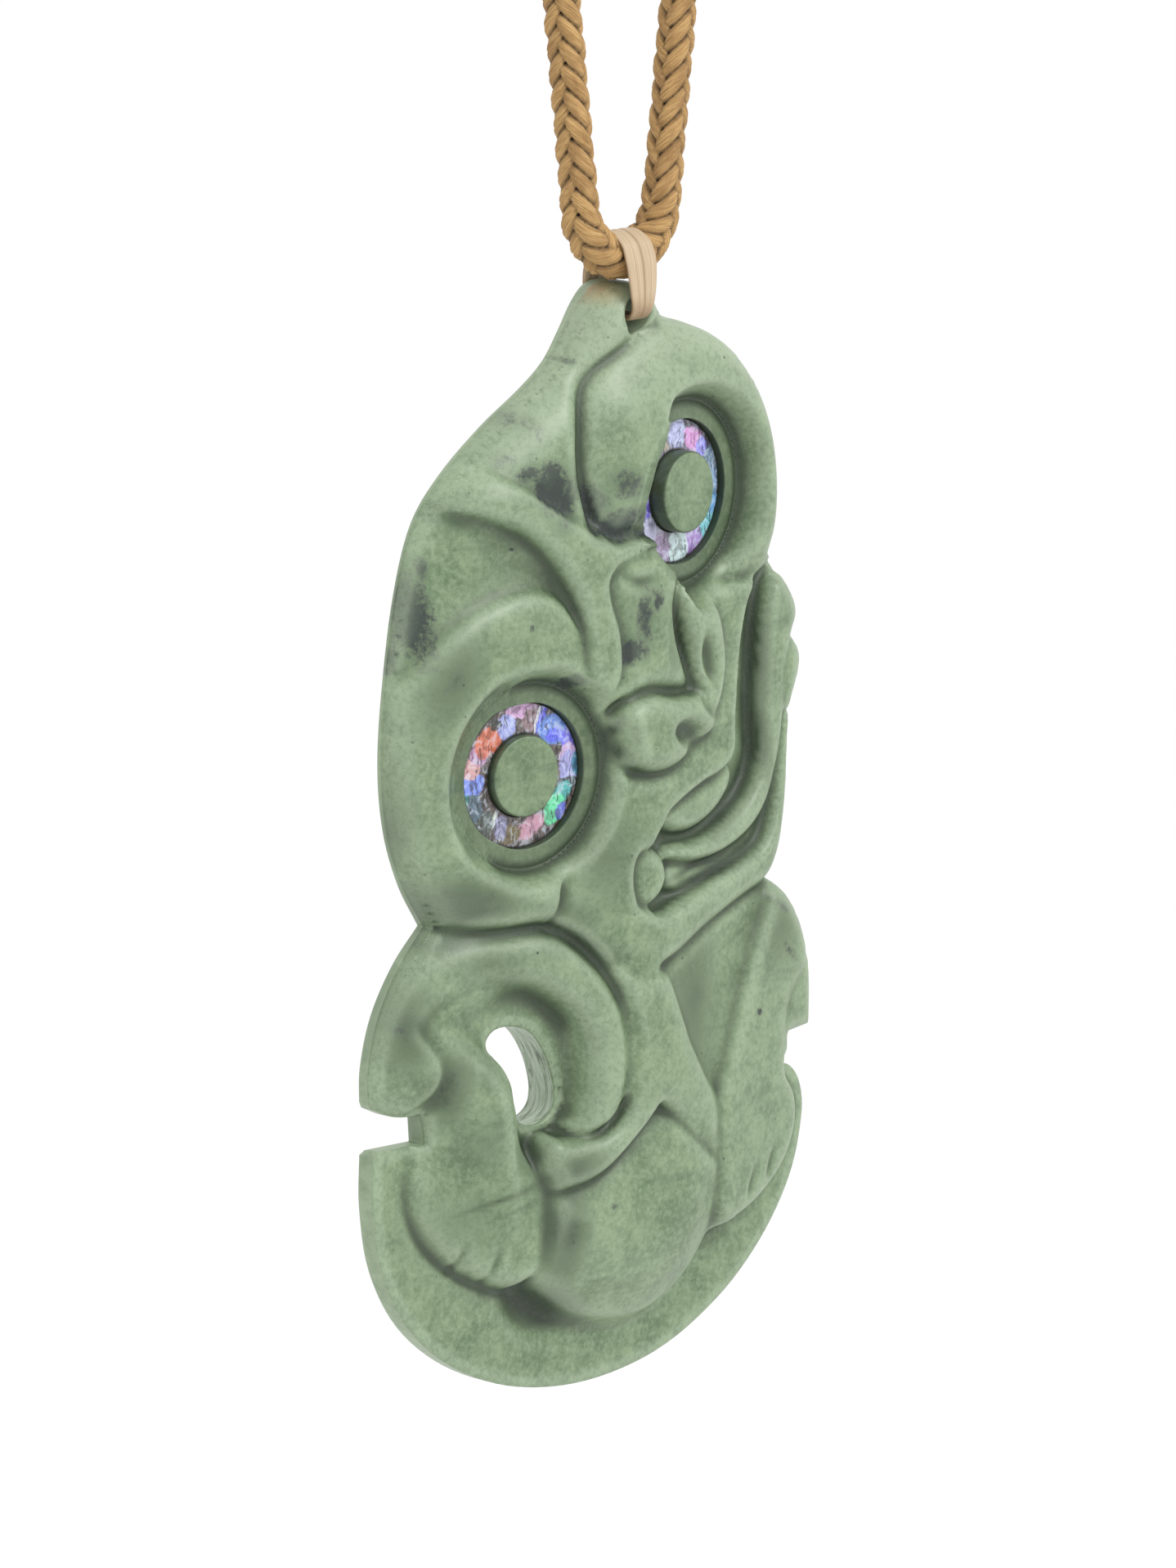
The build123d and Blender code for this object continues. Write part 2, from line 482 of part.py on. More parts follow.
def lashing():
    """A flat band of thread: through the bore, up both faces of the nub and over the cord."""
    bore_x = np.array([hang_column * column])
    bore_z = np.array([bore_row * row])
    front = float(relief(bore_x, bore_z)[0]) - stone_y
    half = max(front, stone_y + rim_thickness, cord_radius) + seat_gap
    low = stone_z + bore_row * row
    top = cord_radius + lashing_clearance
    t = lashing_thickness

    def shape(out):
        base = low + t / 2 - out
        return make_face([
            Line((-half - out, base), (half + out, base)),
            Line((half + out, base), (half + out, hinge_z)),
            ThreePointArc((half + out, hinge_z), (0, hinge_z + top + out), (-half - out, hinge_z)),
            Line((-half - out, hinge_z), (-half - out, base)),
        ])

    side = Plane(origin=(-lashing_width / 2, 0, 0), x_dir=(0, 1, 0), z_dir=(1, 0, 0))
    return extrude(side * (shape(t) - shape(0.0)), amount=lashing_width)


def ring_point(centre_z, radius, angle):
    """A point of a bend of the loop, by its angle from straight up."""
    return (radius * math.sin(angle), 0, centre_z + radius * math.cos(angle))


def cord_line():
    """The cord's centre line, from one side of its join at the top right round to the other."""
    half_gap = cord_end_gap / 2 / cord_top_radius
    turn = math.pi / 2 + spread
    middle = (turn + half_gap) / 2
    parts = [
        ThreePointArc(ring_point(top_centre_z, cord_top_radius, half_gap),
                      ring_point(top_centre_z, cord_top_radius, middle),
                      ring_point(top_centre_z, cord_top_radius, turn)),
        Line(ring_point(top_centre_z, cord_top_radius, turn),
             ring_point(bottom_centre_z, cord_bottom_radius, turn)),
        ThreePointArc(ring_point(bottom_centre_z, cord_bottom_radius, turn),
                      ring_point(bottom_centre_z, cord_bottom_radius, math.pi),
                      ring_point(bottom_centre_z, cord_bottom_radius, -turn)),
        Line(ring_point(bottom_centre_z, cord_bottom_radius, -turn),
             ring_point(top_centre_z, cord_top_radius, -turn)),
        ThreePointArc(ring_point(top_centre_z, cord_top_radius, -turn),
                      ring_point(top_centre_z, cord_top_radius, -middle),
                      ring_point(top_centre_z, cord_top_radius, -half_gap)),
    ]
    return Wire([part.edge() for part in parts])


def neck_cord():
    """The round neck cord, one piece whose two ends meet inside the binding."""
    line = cord_line()
    tube = sweep(Plane(origin=line @ 0, z_dir=line % 0) * Circle(cord_radius), path=line)
    print("cord centre line", round(line.length, 2), "tube volume", round(tube.volume, 1),
          "section times length", round(math.pi * cord_radius**2 * line.length, 1))
    return tube


def cord_binding():
    """The plain whipped sleeve that joins the cord's ends at the top of the loop."""
    turn = math.degrees(binding_length / cord_top_radius)
    section = Plane(origin=(0, 0, top_z), x_dir=(0, 1, 0), z_dir=(1, 0, 0)) * (
        Circle(binding_radius) - Circle(cord_radius + binding_gap))
    axis = Axis((0, 0, top_centre_z), (0, 1, 0))
    return revolve(section.rotate(axis, -turn / 2), axis=axis, revolution_arc=turn)


def main():
    pieces = {
        "tiki_body": tiki_body(),
        "lashing": lashing(),
        "neck_cord": neck_cord(),
        "cord_binding": cord_binding(),
    }
    for eye in EYES:
        pieces["eye_ring_" + eye.name] = eye_ring(eye)
    for name, piece in pieces.items():
        export_step(piece, "parts/" + name + ".step")
    centre = pieces["tiki_body"].center()
    print("hinge", round(hinge_z, 3), "stone origin", round(stone_x, 3), round(stone_y, 3), round(stone_z, 3))
    print("stone volume", round(pieces["tiki_body"].volume), "centre", centre)


main()
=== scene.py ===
"""Looks of a carved greenstone figure pendant with shell ring eyes on a plaited neck cord."""
import math
from collections import namedtuple

import bmesh
import bpy
import numpy as np
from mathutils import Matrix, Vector


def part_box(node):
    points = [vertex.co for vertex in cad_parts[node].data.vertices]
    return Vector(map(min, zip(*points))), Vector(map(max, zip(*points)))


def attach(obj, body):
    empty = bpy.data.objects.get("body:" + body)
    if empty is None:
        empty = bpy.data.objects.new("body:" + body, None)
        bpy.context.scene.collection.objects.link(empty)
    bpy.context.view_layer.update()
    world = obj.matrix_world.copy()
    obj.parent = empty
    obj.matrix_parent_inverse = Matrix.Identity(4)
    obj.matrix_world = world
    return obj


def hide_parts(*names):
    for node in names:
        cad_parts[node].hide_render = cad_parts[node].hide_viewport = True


bl_info = {
    "name": "Greenstone pendant",
    "version": (1, 0, 0),
    "blender": (4, 5, 0),
    "location": "View3D > Sidebar > Pendant",
    "description": "Dresses the packed pendant: stone, shell eyes, lashing, plaited cord and stage",
    "category": "Object",
}

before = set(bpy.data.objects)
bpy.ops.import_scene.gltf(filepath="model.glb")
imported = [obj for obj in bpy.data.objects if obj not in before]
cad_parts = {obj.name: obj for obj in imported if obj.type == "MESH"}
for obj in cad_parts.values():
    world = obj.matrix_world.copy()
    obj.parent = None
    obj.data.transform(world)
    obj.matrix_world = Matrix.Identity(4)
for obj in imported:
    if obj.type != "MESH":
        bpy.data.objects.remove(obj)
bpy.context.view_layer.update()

# One millimetre in metres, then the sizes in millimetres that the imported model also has
MM = 0.001
RIM_THICKNESS = 2.3
RING_OUTER = 14.4
RING_INNER = 8.3
RING_THICKNESS = 0.8
INLAY_GAP = 0.08
LEDGE_WIDTH = 1.3
LEDGE_RISE = 0.9
BORE_COLUMN = 3.8
BORE_ROW = 46.7
BORE_RADIUS = 1.85
CORD_RADIUS = 2.1
CORD_LENGTH = 700.0
CORD_SPREAD = math.radians(7.0)
CORD_BOTTOM_RADIUS = 5.8
BINDING_RADIUS = 2.9
BINDING_LENGTH = 16.0

# The carver's drawing, in millimetres from its middle: columns across, rows up and levels deep
CORNER = True
Form = namedtuple("Form", "name follow level crown shoulder edge outline lean_across lean_up",
                  defaults=(0.0, 0.0))
Groove = namedtuple("Groove", "name start middle end left right path")
Scoop = namedtuple("Scoop", "name column row half_length half_width turn depth")
Eye = namedtuple("Eye", "name column row face_level lean pupil_rise flush_turn flush_drop flush_wall")

# Outline of the stone, clockwise from the nub's top: column, row, and CORNER at a sharp turn
OUTLINE = [
    (3.8, 50), (6.5, 49.2), (7.6, 47.5), (9.4, 46), (12.2, 45.1), (15.8, 43.6), (19.2, 41), (22.2, 37.6),
    (24.2, 33.4), (25.1, 28.5), (24.9, 23.6), (24.4, 20.8, CORNER), (26.4, 18.8), (28.2, 16.2),
    (29.1, 13.9), (28.3, 11.6, CORNER), (29.4, 9.7), (29.2, 7.6), (28, 5), (27.4, 1), (26.9, -4),
    (25.6, -9.2), (24, -12.6, CORNER), (27, -14.8), (29.8, -18.6), (31.5, -23.4), (31.8, -29.6, CORNER),
    (27.6, -29.8, CORNER), (27.6, -33.2, CORNER), (29.8, -33.6), (31.4, -35.6), (31.8, -39), (30, -45.2),
    (25.6, -51.2), (19.2, -56.2), (10.2, -60), (0, -61.1), (-10, -59.8), (-18.6, -56.3), (-25, -51.2),
    (-28.8, -44.8), (-30.1, -38), (-30, -32.4, CORNER), (-23.2, -32.6, CORNER), (-23.4, -29.8, CORNER),
    (-27, -29.3), (-30, -28, CORNER), (-29.9, -24.2), (-28.4, -19.2), (-25.4, -14.6),
    (-21.9, -11.2, CORNER), (-24.6, -6.8), (-26.6, -1.2), (-27.3, 5.4), (-26.6, 13.4), (-25, 22.2),
    (-22.6, 28.8), (-18.8, 33), (-13, 37.2), (-7.6, 40.3), (-4.4, 42.6), (-2.2, 45.4), (-0.4, 48),
    (1.4, 49.6),
]

# The hole pierced under the left arm
HOLE = [
    (-15.9, -23.1), (-14.6, -22.3), (-12.2, -22.4), (-9.9, -23.3), (-8.4, -24.9), (-7.3, -26.8),
    (-6.6, -28.8), (-6.4, -30.3), (-6.8, -31.7), (-8.2, -32.6), (-10.2, -32.7), (-11.6, -31.9),
    (-12.1, -30), (-12.5, -28.2), (-13.6, -26.4), (-15, -25), (-15.9, -24.1),
]

# The front's roof shape, from foot to nub: a ridge that falls to both sides. Each entry holds its
# row, the ridge's column and level, and the levels at the left and the right side.
SECTIONS = [
    (-62, 2, 5.4, 0, 0), (-45, 2, 6.4, 0, 0), (-30, 3, 6.8, -0.2, 0.2), (-18, 3, 6.4, 0, 0.8),
    (-8, 3, 6.3, 0.6, 1.4), (10, 2, 5.9, 0.7, 1.6), (24, 1, 5.4, 1, 1.6), (38, 2, 4.6, 1.4, 1.6),
    (46, 4, 3.6, 2.4, 2.4), (56, 4, 3, 2.6, 2.6),
]
SIDE_REACH = 30.0
RIDGE_BLUNT = 0.1
ROOF_POWER = 1.15

# How the front rounds off towards its edge. Each entry holds its row, then on the left and on the
# right over what width it rounds off, and to what level.
EDGE_FALL = [
    (-62, 0.9, -0.2, 1.2, -0.4), (-31, 0.7, -0.1, 1.2, -0.4), (-28, 3, -0.9, 1.6, 0),
    (-14, 4.6, -1.2, 2, 0.4), (-6, 6, -1.7, 2.4, 0.6), (24, 7, -1.8, 3.6, -0.4), (38, 6, -1.8, 3.6, -0.2),
    (47, 3.6, -1.6, 2.6, 0.4), (52, 3, -0.6, 3, -0.2),
]
EDGE_MIDDLE = 3.0
EDGE_BLEND = 8.0
EDGE_POWER = 2.2

# Raised and sunken forms, each cut over the ones before it. follow says how much of the roof
# shape a form keeps, level is how far it stands over that, crown swells it over its shoulder,
# edge is the width of its step, and the leans tip it across and up.
FORMS = [
    Form("foot_plate", 0, 0, 0, 1, 0.7, [
        (-40, -31, CORNER), (-23.6, -31, CORNER), (-24.6, -40), (-10, -48), (8, -50), (22, -44),
        (27.2, -31.4, CORNER), (40, -31.4, CORNER), (40, -70, CORNER), (-40, -70, CORNER)]),
    Form("temple_hollow", 1, -0.7, -1, 4.5, 0.9, [
        (-30, 31.5, CORNER), (-19.7, 30.6), (-17.1, 29.2), (-12.9, 27.3), (-10.3, 25.4), (-8.4, 23),
        (-6.8, 20), (-5.8, 16.8, CORNER), (-6.6, 17.6), (-8.7, 20), (-12, 21.2), (-17.8, 20), (-22.9, 17),
        (-26, 13.2), (-32, 8, CORNER)]),
    Form("left_eye_rim", 1, 0.1, 0.9, 4, 0.8, [
        (-32, 7, CORNER), (-26, 13), (-22.9, 16.8), (-17.8, 19.8), (-11.9, 21), (-8.5, 19.8), (-6.2, 16.3),
        (-5.2, 12.2), (-2.5, 8), (-1, 2), (-3, -3.5), (-7, -6.4), (-8.5, -8.2, CORNER), (-8.6, -10),
        (-10, -11.8, CORNER), (-18, -11.6), (-24, -10.6), (-32, -6, CORNER)]),
    Form("cheek", 1, -0.3, 0.5, 5, 1.2, [
        (-3.7, 9.6), (0.5, 10.8), (8, 11, CORNER), (14.5, 19, CORNER), (19, 21.5), (27, 20, CORNER),
        (27, -12, CORNER), (19.5, -14), (12.8, -15.6), (4.8, -18.8), (0.4, -18), (-4.4, -14.6),
        (-8.2, -11.6), (-8.4, -8.6), (-6.6, -6.2), (-2, -2.6), (0, 2.6), (-1.8, 7.4)]),
    Form("right_eye_rim", 1, -1.2, 2.4, 7.5, 0.8, [
        (6.6, 45.6), (1, 43.3), (-2.8, 40.6), (-4.2, 36.6), (-4.4, 31.6), (-3.6, 27.4), (-1.6, 25.2),
        (3.8, 24.9), (7, 21, CORNER), (12, 19), (17, 18.6), (24, 18, CORNER), (34, 21, CORNER),
        (34, 48, CORNER), (14, 48.6, CORNER)]),
    Form("brow", 1, 0.7, 0.5, 2.4, 0.5, [
        (-22, 36.4, CORNER), (-15.1, 32.8), (-11.9, 30.9), (-8.7, 28.8), (-5.8, 27), (-3.2, 25.5),
        (-0.7, 24.5), (3.9, 24.9, CORNER), (7.4, 20.8), (6.6, 17.4), (6.9, 14.2), (8.4, 9.6, CORNER),
        (2.5, 10.2), (-2.4, 9.8, CORNER), (-3.7, 10), (-4.9, 11.5), (-5.4, 13.6), (-5.7, 17), (-6.8, 20.4),
        (-8.5, 23.2), (-10.4, 25.5), (-12.9, 27.4), (-17.1, 29.3), (-24, 31, CORNER)]),
    Form("nose_bridge", 1, 0.1, 0.7, 3, 0.5, [
        (-1.2, 23.2), (3.9, 24), (7.4, 20.6), (6.8, 17.4), (7.2, 13.8), (9, 9, CORNER), (3, 9),
        (-2.6, 9.2), (-1.9, 12), (-1.7, 14.2), (-2.1, 16.8), (-3, 19.6), (-3, 21.8)]),
    Form("left_nostril", 1, 0.8, 1, 2.2, 0.5, [
        (-2.2, 6.1), (-1.5, 8.2), (0.6, 9.3), (3, 9.4), (5.4, 8.8), (8.2, 8.6), (10.8, 8.4), (12.2, 6.6),
        (11.4, 4.6), (9.2, 3.9), (6.8, 2.5), (4, 1.8), (1.4, 2.1), (-1, 3.4)], 0.02, 0),
    Form("right_nostril", 1, 0.7, 1, 2, 0.6, [
        (7.6, 19.2), (9.4, 19.7), (11.6, 18.6), (13.2, 16.4), (13.9, 13.6), (14, 10.6), (13, 7.4),
        (11.4, 6), (9.6, 7.4), (9, 9.8), (8.2, 12.6), (7.6, 15.4), (7.2, 17.6)]),
    Form("mouth", 1, -2.6, 0, 1, 0.8, [
        (24, 19.6, CORNER), (20, 17), (18.3, 13.2), (17.5, 9), (17, 4.3), (16.8, 1.6), (15.2, -0.1),
        (11.7, -0.8), (7.9, -2.1), (5.2, -3.8), (3.4, -5.8), (2.1, -7.7), (1.7, -9.8), (2.4, -11.8),
        (4.6, -13), (7.5, -12.4), (13.2, -10.9), (17.9, -10), (21.6, -8.6), (23.6, -5.4), (24.6, -1),
        (26.2, 3.4), (28.6, 7.4, CORNER), (33, 9, CORNER), (33, 18, CORNER)]),
    Form("jaw_groove", 1, -1.7, 0, 1, 1.2, [
        (33, 7, CORNER), (26, 7), (23.4, 2.4), (21.6, -1.6), (20, -5.4), (16.6, -8.6), (12, -9.4),
        (7.6, -8.6), (6.4, -10.2), (9, -11.8), (13.4, -10.9), (18, -10), (21.8, -8.6), (23.8, -5.4),
        (24.8, -1), (26.4, 3.4), (33, 5.6, CORNER)]),
    Form("tongue", 1, -1.5, 0.8, 1.6, 0.7, [
        (17, 0.2), (12.5, -0.7), (9, -1.6), (5.8, -2.8), (5.2, -3.8), (6.8, -5), (9.4, -5.6), (12.4, -5.2),
        (15.2, -3.9), (17.2, -1.8)]),
    Form("tooth", 1, -1.2, 0.5, 1.4, 0.6, [
        (1, -6.6), (4.4, -6.6), (5.9, -8.2), (6, -10), (5, -11.4), (3.2, -12.2), (1, -11.6)]),
    Form("lower_lip", 1, -0.9, 0.8, 1.5, 0.6, [
        (25, 18.2), (27.6, 17.4), (31, 14), (28.6, 11.6), (26.8, 9.4), (26.2, 6.8), (26, 4.2), (25.4, 1.4),
        (24.4, -1.6), (23, -4.4), (21, -6.4), (18.4, -7.7), (15.2, -8.6), (12.4, -8.8), (9.7, -8.6),
        (7.6, -8.1), (5.8, -7.3), (7.9, -6.7), (9.9, -6.8), (12.6, -6.5), (16, -5.4), (19, -3.9),
        (21, -1.8), (21.9, 0.6), (21.9, 3.6), (21.8, 7), (22.2, 11.4), (23.2, 15.6)]),
    Form("lip_lobe", 1, -0.6, 0.6, 1.6, 0.5, [
        (33, 11.8, CORNER), (28, 12), (25.9, 9.6), (25.4, 6.4), (26.2, 4), (28, 4.2),
        (33, 6, CORNER)]),
    Form("arm_hollow", 0, 1.7, 0, 1, 4, [
        (-21.4, -20.2), (-17.4, -18.6), (-11.4, -18.2), (-6.2, -22), (-4.2, -28.6), (-4.8, -33.2),
        (-8.8, -36.6), (-12, -37), (-14, -31), (-16.8, -26.5), (-20.2, -22.8)]),
    Form("belly", 0, 1.8, 4.5, 10, 2.2, [
        (17.9, -35), (17.9, -42.6), (15.2, -48.8), (11.4, -52.9), (6, -55.2), (0, -54.8), (-5, -53),
        (-9.2, -50.2), (-11.6, -46.4), (-12, -39), (-6, -35), (0, -31), (4, -27), (14, -27)], 0, 0.03),
    Form("right_leg", 1, -0.3, 0.7, 2.2, 0.9, [
        (25.6, -13.4), (28.6, -16.4), (30.6, -20.6), (30.2, -23), (27.6, -25.4), (26.6, -28.6),
        (26.8, -33), (28.8, -35.8), (29.2, -39), (27.4, -42.6), (23.4, -45.4), (18.4, -47), (15, -46.6),
        (13.4, -37), (14.6, -31), (17.4, -24), (20.4, -17.6), (22.6, -13.6)]),
    Form("right_arm", 1, -0.65, -0.6, 3, 0.6, [
        (4.6, -18.6), (8, -17.3), (12.8, -15.5), (18.8, -13.8), (24, -12.8, CORNER), (22.5, -15.9),
        (20.4, -19.4), (18.2, -24), (16, -29.1), (14, -33.6, CORNER), (11, -30.4), (8.3, -26),
        (6.4, -22)]),
    Form("left_arm", 1, -0.4, 0.9, 2.4, 1.6, [
        (-25, -13), (-15.5, -12.3), (-9.5, -12.9), (-4.8, -16.4), (-1.4, -21.4), (-0.4, -26.6),
        (-1.3, -31.8), (-3.6, -33.8), (-6.4, -34), (-5.4, -32), (-4.6, -28.8), (-5.4, -23.2),
        (-10.2, -18.6), (-14.6, -17.6), (-18, -17.6), (-22.4, -18.8), (-24.4, -21.4), (-23.6, -23.8),
        (-23.2, -26.2), (-24, -28.2), (-26.2, -29.6), (-34, -29, CORNER), (-34, -14, CORNER)]),
    Form("chest", 1, -0.1, 0.6, 2.4, 0.6, [
        (-2.6, -17.6), (-0.2, -20.8), (0.9, -24.8), (0.5, -29), (-1.2, -32.6), (-3.8, -34.2),
        (-7.4, -34.2), (-9.8, -33.8), (-10.4, -36.2), (-10.2, -38.6), (-6.6, -38.9), (-3, -37.8),
        (0.8, -35), (4, -32.2, CORNER), (6.6, -33.6), (9.6, -35.9), (12.6, -38), (13.6, -37.2),
        (13.3, -34.2), (11, -30.3), (8.3, -25.8), (6.5, -21.8), (4.8, -18.4), (2, -17)]),
    Form("left_leg", 0, 2, 0.5, 3, 1.4, [
        (-23.4, -20.2), (-21, -20.6), (-18.2, -22.6), (-15.6, -25.4), (-13.8, -28), (-12.9, -30.4),
        (-12.6, -33.6), (-11.3, -35.8), (-9.7, -37.8), (-9.1, -40.4), (-9.1, -43.6), (-9.6, -46.4),
        (-10.9, -48.3), (-12.8, -48.9), (-17, -47.2), (-20.9, -44.9), (-23.8, -42), (-25.4, -38.6),
        (-25.7, -35.8), (-25, -33), (-23.8, -29.4), (-22.6, -26.2), (-23, -23.8),
        (-24, -21.6)], 0.18, 0.03),
    Form("hand", 1, 0.5, 0, 1, 0.7, [
        (-34, -20, CORNER), (-26.2, -20.2), (-24.1, -22.2), (-23, -23.8), (-22.4, -25.6), (-22.8, -27.4),
        (-24.4, -28.6), (-26.6, -29.2), (-34, -29.2, CORNER)]),
]

# Grooves cut last: depth at the start, middle and end, the width on each side, and the path
GROOVES = [
    Groove("eye_groove", 0.7, 1.9, 1.7, 0.8, 2, [
        (7.4, 46), (1, 43.4), (-2.9, 40.8), (-4.4, 36.6), (-4.6, 31.8), (-3.6, 27.2)]),
    Groove("arm_groove", 0.7, 1.8, 0.2, 1, 1.8, [
        (-21.8, -11.4), (-15.5, -12), (-9.5, -12.4), (-4.2, -16), (-0.6, -21.4), (0.2, -26.6), (-1, -30.6),
        (-2.6, -32.8)]),
    Groove("chin_groove", 1, 1, 0.8, 1.4, 1.4, [
        (24.2, -12.7), (18.8, -13.9), (12.8, -15.6), (8, -17.4), (4.6, -18.8)]),
    Groove("throat", 0.4, 0.9, 0.4, 1.8, 1.8, [
        (-2.4, -16.8), (1, -18.4), (4.8, -18.8)]),
    Groove("nose_groove", 0.5, 2, 0.9, 0.7, 1.1, [
        (7.4, 20.2), (7.1, 17.6), (7.5, 15), (8.4, 12.4), (9.4, 10), (10.4, 8.8)]),
    Groove("nostril_crease", 0.4, 0.9, 0.8, 1.6, 0.5, [
        (-3, 4.6), (-2.6, 6.9), (-1, 8.9), (2.2, 9.8), (5.6, 9.2), (9, 8.9)]),
    Groove("nostril_edge", 0.9, 0.9, 0.5, 0.6, 1.6, [
        (-1.2, 8.8), (-2.4, 7.4), (-2.5, 5.4), (-1.6, 3.4), (0.7, 1.9), (4, 1.4), (7, 1.8), (9.4, 3.2),
        (11.6, 4.2)]),
    Groove("nose_root", 0.3, 0.9, 0.3, 0.6, 1, [
        (-1.2, 22), (1.2, 21), (3.8, 21.2)]),
    Groove("hand_slit", 0.5, 1.4, 0.4, 0.6, 0.7, [
        (-9.2, -33.5), (-6.4, -33.9), (-3.6, -33.2)]),
    Groove("lid_groove", 1, 0.8, 0.4, 0.8, 0.8, [
        (18.6, 22), (16.4, 19.2), (13.6, 18)]),
    Groove("plate_dish", 0.2, 0.6, 0.3, 2, 0.7, [
        (-25.2, -33.6), (-25.9, -37), (-24.6, -41.4), (-21.4, -45), (-17, -47.8),
        (-13, -49.4)]),
    Groove("shin_ridge", -0.2, -1.2, -0.3, 2.2, 5, [
        (-22.6, -20.8), (-21.4, -22.6), (-19.4, -24.4), (-16.9, -26.6), (-15.4, -29.4), (-14.6, -32.6),
        (-14, -36.6), (-13.2, -41)]),
    Groove("jowl_edge", 0.2, 0.8, 0.5, 1.8, 0.3, [
        (-7.2, -6.2), (-8.5, -8.2), (-8.7, -10), (-9.8, -11.9)]),
    Groove("flap_edge", 0.3, 0.8, 0.9, 0.3, 1.5, [
        (4, -32.4), (6.8, -34.2), (9.5, -36.4), (12.6, -38.6)]),
    Groove("chest_edge", 0.1, 0.5, 0.3, 1.4, 0.3, [
        (-7.4, -39.6), (-3, -38.2), (0.9, -35.4), (3.9, -32.6)]),
    Groove("left_toe_1", 0.2, 1, 1.1, 0.5, 0.5, [(-19, -43.2), (-19.3, -44.4), (-19.8, -46)]),
    Groove("left_toe_2", 0.2, 1, 1.2, 0.5, 0.5, [(-14.9, -43.9), (-15.2, -45.5), (-15.8, -47.6)]),
    Groove("right_toe_1", 0.2, 0.9, 0.9, 0.5, 0.5, [(20.8, -41.8), (20.3, -43), (19.6, -44.6)]),
    Groove("right_toe_2", 0.2, 0.9, 0.9, 0.5, 0.5, [(24.2, -40.4), (23.8, -41.6), (23.2, -43.4)]),
]

# Hollows scooped into the nostrils: the middle, half length, half width, turn from across, depth
SCOOPS = [
    Scoop("right_nostril_hollow", 11, 11.8, 4, 1.7, -77, 1.3),
    Scoop("left_nostril_hollow", 7.4, 5, 3.4, 2, -16, 1.7),
    Scoop("thigh_hollow", -22.2, -31, 8.5, 5, -62, 0.9),
    Scoop("below_foot", -8.6, -52, 6.4, 3.4, -40, 1),
]

# Each eye's ring, its pupil, and the side where its ledge runs out: that side's turn from the
# right, the share of the ledge's rise that is lost there, and the wall beyond as out and up
EYES = [
    Eye("left", -11.3, 2.8, 1.75, 0.116, 1, 170, 0.85,
        [(0, 0), (1, 0.35), (3, 1.6), (5.5, 5), (6.5, 8)]),
    Eye("right", 10.9, 28.3, 1.4, -0.116, 1.9, 188, 0.3,
        [(0, 0), (0.3, 0.5), (0.9, 3.2), (1.5, 5.4), (2.4, 9)]),
]

# The socket outside its ledge: how far out and how far up its wall has come
SOCKET_WALL = [(0, 0), (0.4, -0.1), (0.8, -0.25), (1.7, 1.3), (4, 5.1), (6, 9)]
SOCKET_REACH = 5.5
FLUSH_START = 0.2
FLUSH_SPAN = 0.45
FLUSH_NARROWING = 0.8

# How far beyond its outline a form can reach, how grooves are cut, and how scoops ease in
FORM_REACH = 2.0
GROOVE_POWER = 1.5
SCOOP_EASE = 0.75


def curve(rows, closed=True, steps=6):
    """A smooth line through drawing points, which turns sharply only at a CORNER."""
    points = np.array([entry[:2] for entry in rows], float)
    corner = np.array([len(entry) > 2 for entry in rows])
    before = np.roll(points, 1, axis=0)
    after = np.roll(points, -1, axis=0)
    if not closed:
        before[0] = points[0]
        after[-1] = points[-1]
    way = after - before
    way /= np.hypot(*way.T)[:, None]
    spans = len(points) if closed else len(points) - 1
    start, end = points[:spans], after[:spans]
    length = np.hypot(*(end - start).T)[:, None]
    straight = (end - start) / length
    leave = np.where(corner[:spans, None], straight, way[:spans]) * length
    arrive = np.where(np.roll(corner, -1)[:spans, None], straight,
                      np.roll(way, -1, axis=0)[:spans]) * length
    t = np.linspace(0, 1, steps, endpoint=False)[:, None, None]
    line = ((2 * t**3 - 3 * t**2 + 1) * start + (t**3 - 2 * t**2 + t) * leave
            + (3 * t**2 - 2 * t**3) * end + (t**3 - t**2) * arrive)
    line = line.transpose(1, 0, 2).reshape(-1, 2)
    return line if closed else np.vstack([line, points[-1]])


def nearest(x, z, line, closed=True):
    """Distance to a line, the nearest point on it, how far along that is, and on which side.

    For a closed line the distance is positive inside and negative outside.
    """
    start = line if closed else line[:-1]
    end = np.roll(line, -1, axis=0) if closed else line[1:]
    lengths = np.hypot(*(end - start).T)
    passed = np.concatenate([[0.0], np.cumsum(lengths)])
    best = np.full(x.shape, np.inf)
    spot = np.zeros(x.shape + (2,))
    along = np.zeros(x.shape)
    side = np.zeros(x.shape)
    inside = np.zeros(x.shape, bool)
    for number, ((ax, az), (bx, bz)) in enumerate(zip(start, end)):
        dx, dz = bx - ax, bz - az
        share = ((x - ax) * dx + (z - az) * dz) / (dx * dx + dz * dz)
        share = np.clip(share, 0.0, 1.0)
        px, pz = ax + share * dx, az + share * dz
        gap = np.hypot(x - px, z - pz)
        closer = gap < best
        best = np.where(closer, gap, best)
        spot[closer] = np.stack([px, pz], -1)[closer]
        along = np.where(closer, passed[number] + share * lengths[number], along)
        side = np.where(closer, dx * (z - pz) - dz * (x - px), side)
        if closed and dz:
            inside ^= ((az > z) != (bz > z)) & (x < ax + (z - az) / dz * dx)
    if closed:
        best = np.where(inside, best, -best)
    return best, spot, along / passed[-1], side


def around(x, z, line, reach):
    """Which points lie near enough to a line to be touched by it."""
    low, high = line.min(axis=0) - reach, line.max(axis=0) + reach
    return (x > low[0]) & (x < high[0]) & (z > low[1]) & (z < high[1])


def ease(t):
    """0 to 1 with level ends."""
    t = np.clip(t, 0.0, 1.0)
    return t * t * (3.0 - 2.0 * t)


